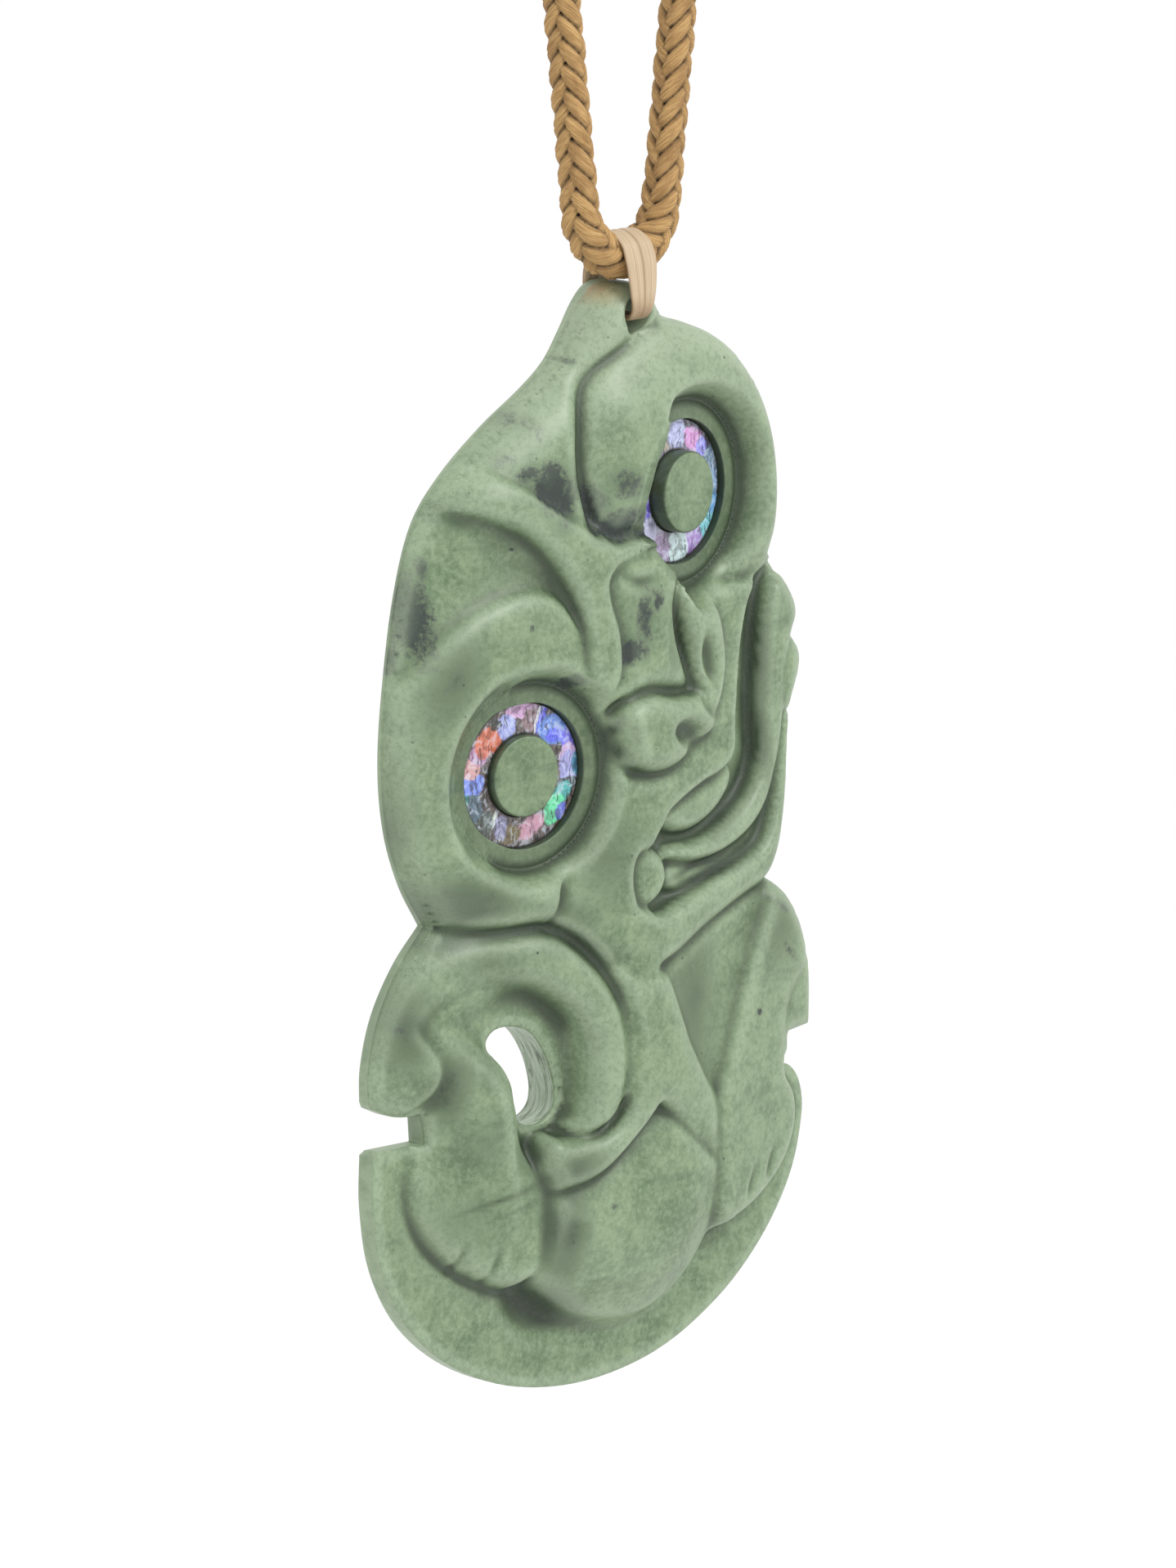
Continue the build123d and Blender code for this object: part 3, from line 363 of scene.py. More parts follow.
def turned(x, z, spot, degrees):
    """How far along a turned direction, and across it, points lie from a spot's column and row."""
    turn = math.radians(degrees)
    dx, dz = x - spot.column, z - spot.row
    return dx * math.cos(turn) + dz * math.sin(turn), dz * math.cos(turn) - dx * math.sin(turn)


def roof(x, z):
    """Height of the plain front: a blunt ridge that falls by a power of the way to its side."""
    rows, *columns = np.array(SECTIONS).T
    at, ridge, left, right = (np.interp(z, rows, column) for column in columns)
    across = (x - at) / SIDE_REACH
    out = np.hypot(across, RIDGE_BLUNT) - RIDGE_BLUNT
    sides = left + (right - left) * ease(across / RIDGE_BLUNT + 0.5)
    return ridge + (sides - ridge) * out**ROOF_POWER


def eye_face(x, eye):
    """Height of the plane that an eye's ring lies in."""
    return eye.face_level + eye.lean * (x - eye.column)


def socket(x, z, eye):
    """Height that an eye's ledge and the wall beyond it leave, and how far out each point is.

    The ledge narrows and sinks towards its flush side, where the other wall takes over.
    """
    radius = np.hypot(x - eye.column, z - eye.row)
    facing = turned(x, z, eye, eye.flush_turn)[0] / np.maximum(radius, 1e-9)
    flush = ease((facing - FLUSH_START) / FLUSH_SPAN)
    out = radius - RING_OUTER / 2 - LEDGE_WIDTH * (1.0 - FLUSH_NARROWING * flush)
    rise, side = (np.interp(out, *np.array(wall).T) for wall in (SOCKET_WALL, eye.flush_wall))
    rise += (side - rise) * flush
    return eye_face(x, eye) + LEDGE_RISE * (1.0 - eye.flush_drop * flush) + rise, out


def relief(x, z):
    """Height of the carved front over the rim's plane: forms, grooves, scoops and sockets."""
    plain = roof(x, z)
    height = plain.copy()
    for form in FORMS:
        line = curve(form.outline)
        near = around(x, z, line, FORM_REACH)
        margin = nearest(x[near], z[near], line)[0]
        swell = 1.0 - (1.0 - np.clip(margin / form.shoulder, 0.0, 1.0))**2
        tip = form.lean_across * (x[near] - line[:, 0].mean()) + form.lean_up * (z[near] - line[:, 1].mean())
        top = form.follow * plain[near] + (form.level + tip + form.crown * swell)
        height[near] += (top - height[near]) * ease(margin / form.edge + 0.5)
    for groove in GROOVES:
        line = curve(groove.path, closed=False)
        near = around(x, z, line, max(groove.left, groove.right))
        gap, _, along, side = nearest(x[near], z[near], line, closed=False)
        width = np.where(side > 0, groove.left, groove.right)
        depth = np.interp(along, [0.0, 0.5, 1.0], [groove.start, groove.middle, groove.end])
        height[near] -= depth * np.clip(1.0 - gap / width, 0.0, 1.0)**GROOVE_POWER
    for scoop in SCOOPS:
        along, across = turned(x, z, scoop, scoop.turn)
        out = np.hypot(along / scoop.half_length, across / scoop.half_width)
        height -= scoop.depth * ease((1.0 - out) / SCOOP_EASE)
    for eye in EYES:
        floor, out = socket(x, z, eye)
        height = np.where(out < SOCKET_REACH, np.minimum(height, floor), height)
    return height


def stone_front(x, z, margin):
    """Height of the front: the relief, rounded off to its edge's level as a superellipse is."""
    rows, *columns = np.array(EDGE_FALL).T
    left_width, left_low, right_width, right_low = (np.interp(z, rows, column) for column in columns)
    side = ease((x - EDGE_MIDDLE) / EDGE_BLEND + 0.5)
    width = left_width * (1 - side) + right_width * side
    low = left_low * (1 - side) + right_low * side
    share = np.clip(1.0 - margin / width, 0.0, 1.0)
    round_off = np.clip(1.0 - share**EDGE_POWER, 0.0, 1.0)**(1.0 / EDGE_POWER)
    height = relief(x, z)
    return np.where(share > 0, low + np.maximum(height - low, 0.0) * round_off, height)


# Where the drawing's origin lies in the part's frame, in millimetres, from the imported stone's box
def drawing_place():
    """Middle of the stone's box less the middle of the drawn outline; the flat back sets the depth."""
    low, high = (np.array(corner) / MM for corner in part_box("tiki_body"))
    line = curve(OUTLINE)
    middle = (line.min(axis=0) + line.max(axis=0)) / 2
    return np.array([(low[0] + high[0]) / 2 - middle[0], high[1] - RIM_THICKNESS,
                     (low[2] + high[2]) / 2 - middle[1]])


PLACE = drawing_place()


def placed(x, z, height):
    """Drawing columns, rows and heights as points of the part's frame, in millimetres."""
    return np.stack([x + PLACE[0], PLACE[1] - height, z + PLACE[2]], -1)


# The cord's loop: two straight sides that spread upwards, a small bend below and a wide one above
def loop_sizes():
    """Radius of the top bend, length of one side and heights of the two bends' middles."""
    per_radius = 2.0 / math.tan(CORD_SPREAD)
    bend = math.pi - 2.0 * CORD_SPREAD
    top = ((CORD_LENGTH + CORD_BOTTOM_RADIUS * (per_radius - bend))
           / (per_radius + math.pi + 2.0 * CORD_SPREAD))
    side = (top - CORD_BOTTOM_RADIUS) / math.tan(CORD_SPREAD)
    high = BINDING_RADIUS - top
    drop = side * math.cos(CORD_SPREAD) + (top - CORD_BOTTOM_RADIUS) * math.sin(CORD_SPREAD)
    return top, side, high, high - drop


TOP_RADIUS, SIDE_LENGTH, TOP_MIDDLE, BOTTOM_MIDDLE = loop_sizes()
TOP_TURN = math.pi / 2 + CORD_SPREAD
HINGE_HEIGHT = BOTTOM_MIDDLE - CORD_BOTTOM_RADIUS


def loop_point(run):
    """Points of the cord's middle line and its outward directions in the XZ plane.

    The turn from straight up grows along the bends and holds on the sides; the point is the
    bend's middle plus its radius along the turn's direction, both shared linearly on the sides.
    """
    knots = np.cumsum([0.0, TOP_RADIUS * TOP_TURN, SIDE_LENGTH,
                       CORD_BOTTOM_RADIUS * 2 * (math.pi - TOP_TURN), SIDE_LENGTH, TOP_RADIUS * TOP_TURN])
    second_turn = 2 * math.pi - TOP_TURN
    turn = np.interp(run, knots, [0.0, TOP_TURN, TOP_TURN, second_turn, second_turn, 2 * math.pi])
    radius, middle = (
        np.interp(run, knots, [top] * 2 + [bottom] * 2 + [top] * 2)
        for top, bottom in ((TOP_RADIUS, CORD_BOTTOM_RADIUS), (TOP_MIDDLE, BOTTOM_MIDDLE)))
    outward = np.stack([-np.sin(turn), np.cos(turn)], -1)
    point = radius[..., None] * outward
    point[..., 1] += middle
    return point, outward


def round_the_loop(run, turn, radius):
    """Points at each turn and radius round the cord's middle line, for each run along it."""
    point, outward = loop_point(run)
    side = radius * np.sin(turn)
    return np.stack([point[:, 0, None] + side * outward[:, 0, None], -radius * np.cos(turn),
                     point[:, 1, None] + side * outward[:, 1, None]], -1).reshape(-1, 3)


def whole_turn(count):
    """Even turns round a tube."""
    return np.arange(count) * 2 * math.pi / count


def tone(red, green, blue):
    """A colour as it looks on screen, 0 to 255, in linear values."""
    share = np.array([red, green, blue]) / 255.0
    linear = np.where(share <= 0.04045, share / 12.92, ((share + 0.055) / 1.055)**2.4)
    return tuple(float(value) for value in linear)


def mark_points(mesh, marks):
    """Stores named values or vectors for a mesh's points, which its material reads."""
    for mark, values in marks.items():
        kind, field = ("FLOAT_VECTOR", "vector") if values.ndim == 2 else ("FLOAT", "value")
        layer = mesh.attributes.new(mark, kind, "POINT")
        layer.data.foreach_set(field, values.ravel().astype(np.float32))


def new_piece(name, points, faces, body, replaced, marks):
    """A smooth closed mesh object from points in millimetres, with its points' marks."""
    mesh = bpy.data.meshes.new(name)
    mesh.from_pydata((points * MM).tolist(), [], faces)
    mesh.polygons.foreach_set("use_smooth", np.ones(len(faces), bool))
    mark_points(mesh, marks)
    mesh.update()
    piece = bpy.data.objects.new(name, mesh)
    bpy.context.scene.collection.objects.link(piece)
    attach(piece, body)
    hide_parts(*replaced)
    return piece


def tube_faces(rows, around_count, closed_rows=False):
    """Quads of a grid that is closed around and, if asked, along, with its ends as polygons."""
    one = np.arange(rows if closed_rows else rows - 1)[:, None]
    two = (one + 1) % rows
    j = np.arange(around_count)[None, :]
    k = (j + 1) % around_count
    quads = np.stack([one * around_count + j, one * around_count + k,
                      two * around_count + k, two * around_count + j], -1).reshape(-1, 4).tolist()
    if not closed_rows:
        first = list(range(around_count))
        quads += [first[::-1], [(rows - 1) * around_count + n for n in first]]
    return quads


class Signal:
    """One output of a shader node; sums on it add the Math nodes that they stand for."""

    def __init__(self, tree, socket=None):
        self.tree = tree
        self.socket = socket

    def node(self, kind, settings=None, values=None, output=0):
        """Adds a node: its settings first, then its sockets' values or links."""
        made = self.tree.nodes.new(kind)
        for name, value in (settings or {}).items():
            setattr(made, name, value)
        for name, value in (values or {}).items():
            if isinstance(value, Signal):
                self.tree.links.new(value.socket, made.inputs[name])
            elif hasattr(made.inputs[name].default_value, "__len__"):
                wanted = len(made.inputs[name].default_value)
                made.inputs[name].default_value = (tuple(value) + (1.0,))[:wanted]
            else:
                made.inputs[name].default_value = value
        return Signal(self.tree, made.outputs[output])

    def math(self, operation, first, second=0.0):
        return self.node("ShaderNodeMath", {"operation": operation}, {0: first, 1: second})

    def __add__(self, other):
        return self.math("ADD", self, other)

    def __sub__(self, other):
        return self.math("SUBTRACT", self, other)

    def __rsub__(self, other):
        return self.math("SUBTRACT", other, self)

    def __mul__(self, other):
        return self.math("MULTIPLY", self, other)

    def __pow__(self, other):
        return self.math("POWER", self, other)

    __radd__ = __add__
    __rmul__ = __mul__

    def least(self, other):
        return self.math("MINIMUM", self, other)

    def most(self, other):
        return self.math("MAXIMUM", self, other)

    def __abs__(self):
        return self.math("ABSOLUTE", self)

    def above(self, level):
        """How far this lies over a level, and 0 under it."""
        return (self - level).most(0.0)

    def between(self, low, high):
        """0 below low and 1 above high, with a soft step between them."""
        return self.node("ShaderNodeMapRange", {"interpolation_type": "SMOOTHSTEP"},
                         {"Value": self, "From Min": low, "From Max": high})

    def blend(self, share, other):
        """This colour turned into another by a share."""
        return self.node("ShaderNodeMix", {"data_type": "RGBA"}, {0: share, 6: self, 7: other}, output=2)

    def vector(self, operation, other, output=0):
        return self.node("ShaderNodeVectorMath", {"operation": operation}, {0: self, 1: other}, output)

    def part(self, axis):
        return self.node("ShaderNodeSeparateXYZ", {}, {0: self}, output=axis)

    def noise(self, scale, detail=3.0, rough=0.5, twist=0.0):
        return self.node("ShaderNodeTexNoise", {}, {"Vector": self, "Scale": scale, "Detail": detail,
                                                    "Roughness": rough, "Distortion": twist})

    def mapped(self, kind="POINT", turn=0.0, **values):
        """This place moved, turned about the depth axis in degrees, and scaled."""
        return self.node("ShaderNodeMapping", {"vector_type": kind},
                         {"Vector": self, "Rotation": (0.0, math.radians(turn), 0.0), **values})

    def bump(self, strength, distance):
        """Small unevenness of the surface from this height."""
        return self.node("ShaderNodeBump", {}, {"Strength": strength, "Distance": distance, "Height": self})

    def color(self, tint):
        """A plain colour, ready to be blended."""
        return self.node("ShaderNodeMix", {"data_type": "RGBA"}, {0: 0.0, 6: tint, 7: tint}, output=2)

    def attribute(self, name, output=2):
        return self.node("ShaderNodeAttribute", {"attribute_name": name}, {}, output)


def new_material(name):
    """An empty node material with its surface shader, and a signal in millimetres of its place."""
    material = bpy.data.materials.new(name)
    material.use_nodes = True
    tree = material.node_tree
    shader = next(node for node in tree.nodes if node.type == "BSDF_PRINCIPLED")
    blank = Signal(tree)
    place = blank.node("ShaderNodeTexCoord", output="Object")
    return material, shader, blank, place.vector("MULTIPLY", (1.0 / MM,) * 3)


def set_shader(shader, **values):
    """Puts values on the shader's sockets, or links signals to them."""
    for name, value in values.items():
        socket = shader.inputs[name.replace("_", " ")]
        if isinstance(value, Signal):
            value.tree.links.new(value.socket, socket)
        elif hasattr(socket.default_value, "__len__"):
            socket.default_value = (*value, 1.0)
        else:
            socket.default_value = value


# How the stone's edges and openings are rounded, in millimetres
FRONT_ROUND = 0.35
BACK_ROUND = 0.4
PUPIL_ROUND = 0.35
BORE_MOUTH = 0.5
HOLE_MOUTH = 0.35
MOUTH_MARGIN = 0.02

# The cut side's rows of points: the front rounding's insets as shares of its radius, heights up the
# plain wall as shares of it, turns of the back's rounding, the last row's inset on the back, how
# near the hole's line a point is one of its wall, and how crested each row of points is, which
# paints it paler for wear and as painted highlight
FRONT_INSETS = [0.62, 0.34, 0.14, 0.03, 0.0]
WALL_SHARES = [0.33, 0.67]
BACK_TURNS = [0, 30, 60, 90]
BACK_INSET = 0.3
HOLE_NEARNESS = 0.05
SIDE_CREST = [0.8, 0.9, 0.8, 0.5, 0.3, 0.1, 0.1, 0.3, 0.5, 0.3, 0.0, 0.0]

# The round patch of each eye: its radius, how many rows reach its recess, how near its rim they
# tip into the ring's plane, how near it the front's own hollow mark, which is painted shade, fades,
# and the ledge's painted shade
EYE_PATCH = 9.4
PATCH_ROWS = 13
PATCH_TIP = 0.8
PATCH_FADE = 1.2
LEDGE_SHADE = 0.4
RECESS_LIP = 0.1
RECESS_SHARES = [0.8, 0.4]
FLOOR_INSET = 0.3
PUPIL_SHARES = [0.0, 0.35, 0.7]
PUPIL_TURNS = [0, 18, 36, 54, 72, 90]
PUPIL_TOP_ROWS = [0.82, 0.7, 0.56, 0.42, 0.28, 0.12]

# How hollow the pupil's foot, its wall and its top are, which sets their painted shade, up to what
# rise its foot reaches, and how far in from its wall its top starts
FOOT_MARK = 1.0
WALL_MARK = 0.55
TOP_MARK = 0.1
FOOT_RISE = 0.3
TOP_INSET = 0.1

# How far the front's heights are evened out, in grid steps; and the surroundings in millimetres
# against which hollows and crests are measured, with the height that counts as a full one. Hollows
# get painted shade, crests a paler colour for wear and for painted highlight.
EVEN_SPREAD = 1.15
WIDE_REACH = 1.7
FINE_REACH = 0.55
WIDE_HOLLOW = 1.5
WIDE_SHARE = 0.75
FINE_HOLLOW = 0.18
FINE_SHARE = 0.55
FULL_CREST = 0.10

# Dark clouds in the stone, and darker green patches: painted shade in hollows, under the feet and
# along edges, and some of the stone's own dark veins and streaks. For each: where it is, its half
# sizes, turn in degrees and strength. A patch of a strength below 0 is a place kept clear of the
# hollow marks' painted shade.
Patch = namedtuple("Patch", "column row half_width half_height turn strength")
CLOUDS = [Patch(*row) for row in (
    (-9.2, 31.2, 2.1, 1.9, 20, 1), (-12, 32.9, 1.3, 0.7, 24, 0.8), (-7.6, 30, 1.3, 2.6, -30, 0.9),
    (-0.2, 30.8, 1.8, 1.2, -14, 0.62), (-1, 26.6, 3, 1.2, 8, 0.95), (-3.4, 28.8, 1.1, 1.6, 0, 0.85),
    (2.9, 25.3, 1.3, 0.7, 0, 0.8), (-24.2, 20.2, 1.4, 3.4, 0, 1), (-23, 24.4, 0.6, 1.1, 0, 0.9),
    (-26.2, 15.8, 0.8, 1.5, 0, 0.6), (-0.7, 14.4, 1.3, 1.1, 0, 0.95), (1.6, 17.2, 1.1, 2.8, -8, 0.7),
    (3.4, 18.9, 0.8, 1.2, 0, 0.6), (-6.8, 11.8, 1.1, 0.7, 0, 0.95), (-3.6, 42.8, 0.4, 0.3, 0, 0.9),
    (-12.9, 18, 0.2, 0.3, 0, 0.9), (-13.4, 25.6, 0.3, 0.15, 0, 0.8), (-11, 37.4, 1.6, 1.8, 30, 0.45),
    (-14, 34.4, 1.5, 1, 0, 0.45), (20.4, -25.8, 0.4, 0.35, 0, 0.9), (24, -15.2, 1.6, 0.5, -30, 0.6),
    (26.2, -20.6, 1.8, 0.5, -42, 0.5), (-27.4, -20.4, 0.5, 0.3, 0, 0.6),
    (-2.4, -41.6, 0.4, 0.3, 0, 0.6),
)]
PAINTED_SHADES_AND_VEINS = [Patch(*row) for row in (
    (-20.8, -8.9, 4.5, 2, 0, 0.95), (-8.6, -12.3, 3, 2, 0, 0.6), (-5.8, -14.6, 3, 1.1, -30, 0.8),
    (-26.6, -20, 2.2, 3.4, 0, 0.75), (-21.6, -27.2, 1.7, 3.4, -20, 0.7), (-26.6, -1.4, 1, 4, 0, 0.6),
    (-23.6, -12.6, 4, 0.9, 0, 0.6), (-3, -6, 3.6, 3.6, 0, 0.4), (-11, -19.6, 4.4, 1.5, -34, 0.6),
    (-20.3, -40.8, 5, 3, 0, 0.25), (0.6, 18.4, 2.4, 3.2, 0, 0.15), (24.6, -18, 2.6, 3.4, -30, 0.4),
    (-6.2, -37.4, 2.4, 1.6, 30, 0.6), (-15.6, -39.2, 5.4, 0.3, 10, 0.6),
    (-13, -40.4, 4, 0.22, 14, 0.4), (13, -10.6, 4.4, 0.35, 6, 0.9), (11, -9.4, 3.4, 0.25, 12, 0.8),
    (19, -17.4, 5, 0.2, 20, 0.25), (-11.6, -34.6, 1.6, 1.8, 0, 0.6), (-7.6, -51.6, 3.4, 1.5, -26, 1),
    (22.1, 11, 0.9, 5, 0, 0.9), (21.8, 2.4, 0.9, 3.6, 10, 1.1), (16, -5.4, 2.6, 0.7, 30, 0.6),
    (19.9, -2, 1, 2, -30, 0.6), (-7.4, -37, 2.4, 1.6, 10, 0.8), (-7.8, -43.4, 1.6, 4.4, 0, 0.8),
    (-1.8, 6.4, 0.35, 1.3, -8, 0.8), (-1.1, 4, 0.35, 1.2, 20, 0.8), (0.6, 2.3, 1.2, 0.35, -28, 0.6),
    (2.4, -23.6, 2.2, 4.6, -10, -1), (-4.4, -24.6, 1.4, 4, 0, -1), (8, -54.6, 7, 1.8, 12, -1.3),
    (-8.6, -23.6, 2.2, 4.4, 30, -0.5), (-9, -57.4, 6, 1.6, 0, -1), (-21, 6, 1.2, 5, -20, 0.3),
    (-21.8, 13.6, 1.8, 4, -30, 0.6), (-19.4, 28.8, 1.6, 0.6, -20, 0.6),
    (10.8, -22.4, 2.6, 4.6, 0, 0.5), (-17.2, -14.6, 3.4, 1.3, 0, 0.45),
    (-17, -25.4, 1.2, 1.6, 0, 0.5), (-17, -33.4, 1.6, 2.4, 0, 0.3), (-4, -5.6, 2.6, 2.4, 0, 0.5),
    (-5.2, -26.4, 1, 3.6, 0, 0.15), (5.6, 13.8, 0.6, 3.4, 0, 0.3),
)]


def stone_grid(spacing):
    """Node places of a square grid over the outline, with how far inside the stone each one is."""
    line = curve(OUTLINE)
    low, high = line.min(axis=0) - 2 * spacing, line.max(axis=0) + 2 * spacing
    x, z = np.meshgrid(np.arange(low[0], high[0], spacing), np.arange(low[1], high[1], spacing))
    return x, z, stone_margin(x, z)[0]


def stone_margin(x, z):
    """Distance inside the stone from its outline, hole or bore, whichever is nearest, and that spot."""
    outer, outer_spot, _, _ = nearest(x, z, curve(OUTLINE))
    hole, hole_spot, _, _ = nearest(x, z, curve(HOLE))
    from_bore = np.hypot(x - BORE_COLUMN, z - BORE_ROW)
    share = BORE_RADIUS / np.maximum(from_bore, 1e-9)
    bore_spot = np.stack([BORE_COLUMN + (x - BORE_COLUMN) * share, BORE_ROW + (z - BORE_ROW) * share], -1)
    margins = np.stack([outer, -hole, from_bore - BORE_RADIUS])
    spots = np.stack([outer_spot, hole_spot, bore_spot])
    which = margins.argmin(axis=0)
    margin = np.take_along_axis(margins, which[None], 0)[0]
    spot = np.take_along_axis(spots, which[None, ..., None], 0)[0]
    return margin, spot


def carved_height(x, z, margin):
    """The carved front's height with its outer edge rounded, and each opening's own mouth rounded too.

    A mouth is a quarter circle of its own radius: the height loses r - sqrt(r^2 - (r - distance)^2).
    """
    from_bore = np.hypot(x - BORE_COLUMN, z - BORE_ROW) - BORE_RADIUS
    from_hole = -nearest(x, z, curve(HOLE))[0]
    outer = margin.copy()
    opened = np.minimum(from_bore, from_hole) < margin + MOUTH_MARGIN
    if opened.any():
        outer[opened] = np.maximum(nearest(x[opened], z[opened], curve(OUTLINE))[0], 0.0)
    height = stone_front(x, z, outer)
    for gap, radius in ((from_bore, BORE_MOUTH), (from_hole, HOLE_MOUTH)):
        share = np.clip(1.0 - gap / radius, 0.0, 1.0)
        height = height - radius * (1.0 - np.sqrt(1.0 - share**2))
    return height


def four_sides(cells):
    """Which cells beside each cell are kept: below, right, above and left."""
    wide = np.pad(cells, 1)
    return wide[:-2, 1:-1], wide[1:-1, 2:], wide[2:, 1:-1], wide[1:-1, :-2]


def kept_cells(x, z, margin):
    """Grid cells of the front between the rounded edges and the eye patches, with no lone corners."""
    middle = (margin[:-1, :-1] + margin[1:, :-1] + margin[:-1, 1:] + margin[1:, 1:]) / 4
    cx, cz = (x[:-1, :-1] + x[1:, 1:]) / 2, (z[:-1, :-1] + z[1:, 1:]) / 2
    cells = middle > FRONT_ROUND
    for eye in EYES:
        cells &= np.hypot(cx - eye.column, cz - eye.row) > EYE_PATCH
    for _ in range(3):
        below, right, above, left = four_sides(cells)
        cells &= (below | above) & (left | right)
        one, two, three, four = cells[:-1, :-1], cells[:-1, 1:], cells[1:, :-1], cells[1:, 1:]
        lone = (one & four & ~two & ~three) | (two & three & ~one & ~four)
        cells[:-1, :-1] &= ~lone
        cells[:-1, 1:] &= ~lone
    return cells


def rim_edges(cells, number):
    """Directed edges of kept cells that have no kept neighbour, as pairs of node numbers."""
    below, right, above, left = (cells & ~side for side in four_sides(cells))
    a, b, c, d = number[:-1, :-1], number[:-1, 1:], number[1:, 1:], number[1:, :-1]
    return np.concatenate([
        np.stack([a[below], b[below]], -1), np.stack([b[right], c[right]], -1),
        np.stack([c[above], d[above]], -1), np.stack([d[left], a[left]], -1)])


def settle(x, z, cells, fixed, rounds=4):
    """Evens out the nodes beside the snapped ones: each becomes the mean of its four neighbours."""
    used = np.zeros(x.shape, bool)
    for corner in ((0, 0), (0, 1), (1, 0), (1, 1)):
        used[corner[0]:corner[0] + cells.shape[0], corner[1]:corner[1] + cells.shape[1]] |= cells
    near = fixed.copy()
    for _ in range(3):
        near[1:-1, 1:-1] |= near[:-2, 1:-1] | near[2:, 1:-1] | near[1:-1, :-2] | near[1:-1, 2:]
    free = (near & used & ~fixed)[1:-1, 1:-1]
    for _ in range(rounds):
        for grid in (x, z):
            mean = (grid[:-2, 1:-1] + grid[2:, 1:-1] + grid[1:-1, :-2] + grid[1:-1, 2:]) / 4
            grid[1:-1, 1:-1][free] = mean[free]
    return used


def softened(field, weight, spread):
    """Mean of a grid's field over the weighted neighbours within a Gaussian's spread, in cells."""
    down = np.fft.fftfreq(field.shape[0])[:, None]
    over = np.fft.rfftfreq(field.shape[1])[None, :]
    pass_low = np.exp(-2.0 * (math.pi * spread)**2 * (down**2 + over**2))
    total, share = (np.fft.irfft2(np.fft.rfft2(part) * pass_low, field.shape)
                    for part in (field * weight, weight.astype(float)))
    return total / np.maximum(share, 1e-6)


def strip(first, edges, rows, start, middle=None):
    """Quads from each rim edge through rows of copies of its nodes; first gives a node's place in a row.

    A middle closes the last row with triangles to one point.
    """
    count = len(first)
    place = np.full(max(first) + 1, -1)
    place[first] = np.arange(count)
    a, b = place[edges[:, 0]], place[edges[:, 1]]
    quads = []
    for row in range(rows):
        above_a = first[a] if row == 0 else start + (row - 1) * count + a
        above_b = first[b] if row == 0 else start + (row - 1) * count + b
        quads += np.stack([above_b, above_a, start + row * count + a, start + row * count + b], -1).tolist()
    last = start + (rows - 1) * count
    if middle is not None:
        quads += np.stack([last + b, last + a, np.full(len(a), middle)], -1).tolist()
    return quads


def eye_patch(eye, x, z, rim_hollow):
    """Rows of points round an eye, from the patch's rim in to its middle, with their hollowness, which
    becomes painted shade.

    Outside the recess a point keeps the relief's height. Inside it the rows follow the recess
    wall, its floor, the pupil's wall, its rounded edge and its flat top, in the ring's own plane.
    """
    radius = np.hypot(x - eye.column, z - eye.row)
    across, up = (x - eye.column) / radius, (z - eye.row) / radius
    tilt = 1.0 / math.hypot(1.0, eye.lean)
    recess = RING_OUTER / 2 + INLAY_GAP
    pupil = RING_INNER / 2 - INLAY_GAP
    depth = -RING_THICKNESS - INLAY_GAP
    points, hollow = [], []
    for ring in [*np.linspace(EYE_PATCH, recess + RECESS_LIP, PATCH_ROWS)[1:], recess]:
        lean = 1.0 + (tilt - 1.0) * min((EYE_PATCH - ring) / PATCH_TIP, 1.0)
        px, pz = eye.column + across * ring * lean, eye.row + up * ring
        lip = relief(px, pz)
        points.append(placed(px, pz, lip))
        near = min((EYE_PATCH - ring) / PATCH_FADE, 1.0)
        hollow.append(rim_hollow * (1.0 - near) + LEDGE_SHADE * near)
    face = eye.face_level + eye.lean * across * recess * tilt
    for share in RECESS_SHARES:
        rise = depth + ((lip - face) / tilt - depth) * share
        points.append(placed(eye.column + across * recess * tilt - eye.lean * rise * tilt,
                             eye.row + up * recess, face + rise * tilt))
        hollow.append(np.ones(len(x)))
    profile = [(recess, depth), (recess - FLOOR_INSET, depth), (pupil + FLOOR_INSET, depth), (pupil, depth)]
    profile += [(pupil, share * (eye.pupil_rise - PUPIL_ROUND)) for share in PUPIL_SHARES]
    profile += [(pupil - PUPIL_ROUND * (1 - math.cos(turn)),
                 eye.pupil_rise - PUPIL_ROUND * (1 - math.sin(turn))) for turn in np.radians(PUPIL_TURNS)]
    profile += [(share * pupil, eye.pupil_rise) for share in PUPIL_TOP_ROWS]
    for ring, rise in profile:
        px = eye.column + across * ring * tilt - eye.lean * rise * tilt
        height = eye.face_level + eye.lean * across * ring * tilt + rise * tilt
        points.append(placed(px, eye.row + up * ring, height))
        beside = WALL_MARK if ring > pupil - TOP_INSET else TOP_MARK
        hollow.append(np.full(len(x), FOOT_MARK if rise < FOOT_RISE else beside))
    top = placed(np.array([eye.column - eye.lean * eye.pupil_rise * tilt]), np.array([eye.row]),
                 np.array([eye.face_level + eye.pupil_rise * tilt]))
    return np.array(points), np.array(hollow), top


def snap_rim(x, z, margin, rim, spacing):
    """Moves the rim's nodes onto the rounded edges and the eye patches, in place.

    Returns each rim node's nearest spot on an edge, its way inwards from there, and for all
    nodes the number of the eye whose patch they are on, or -1.
    """
    _, spot = stone_margin(x[rim], z[rim])
    way = np.stack([x[rim], z[rim]], -1) - spot
    way /= np.hypot(*way.T)[:, None]
    snapped = spot + way * FRONT_ROUND
    of_eye = np.full(x.size, -1)
    for index, eye in enumerate(EYES):
        out = np.stack([x[rim] - eye.column, z[rim] - eye.row], -1)
        radius = np.hypot(*out.T)
        near = radius < EYE_PATCH + 2 * spacing
        of_eye[rim[near]] = index
        snapped[near] = (eye.column, eye.row) + out[near] / radius[near, None] * EYE_PATCH
    x[rim], z[rim] = snapped.T
    margin[rim[of_eye[rim] < 0]] = FRONT_ROUND
    return spot, way, of_eye


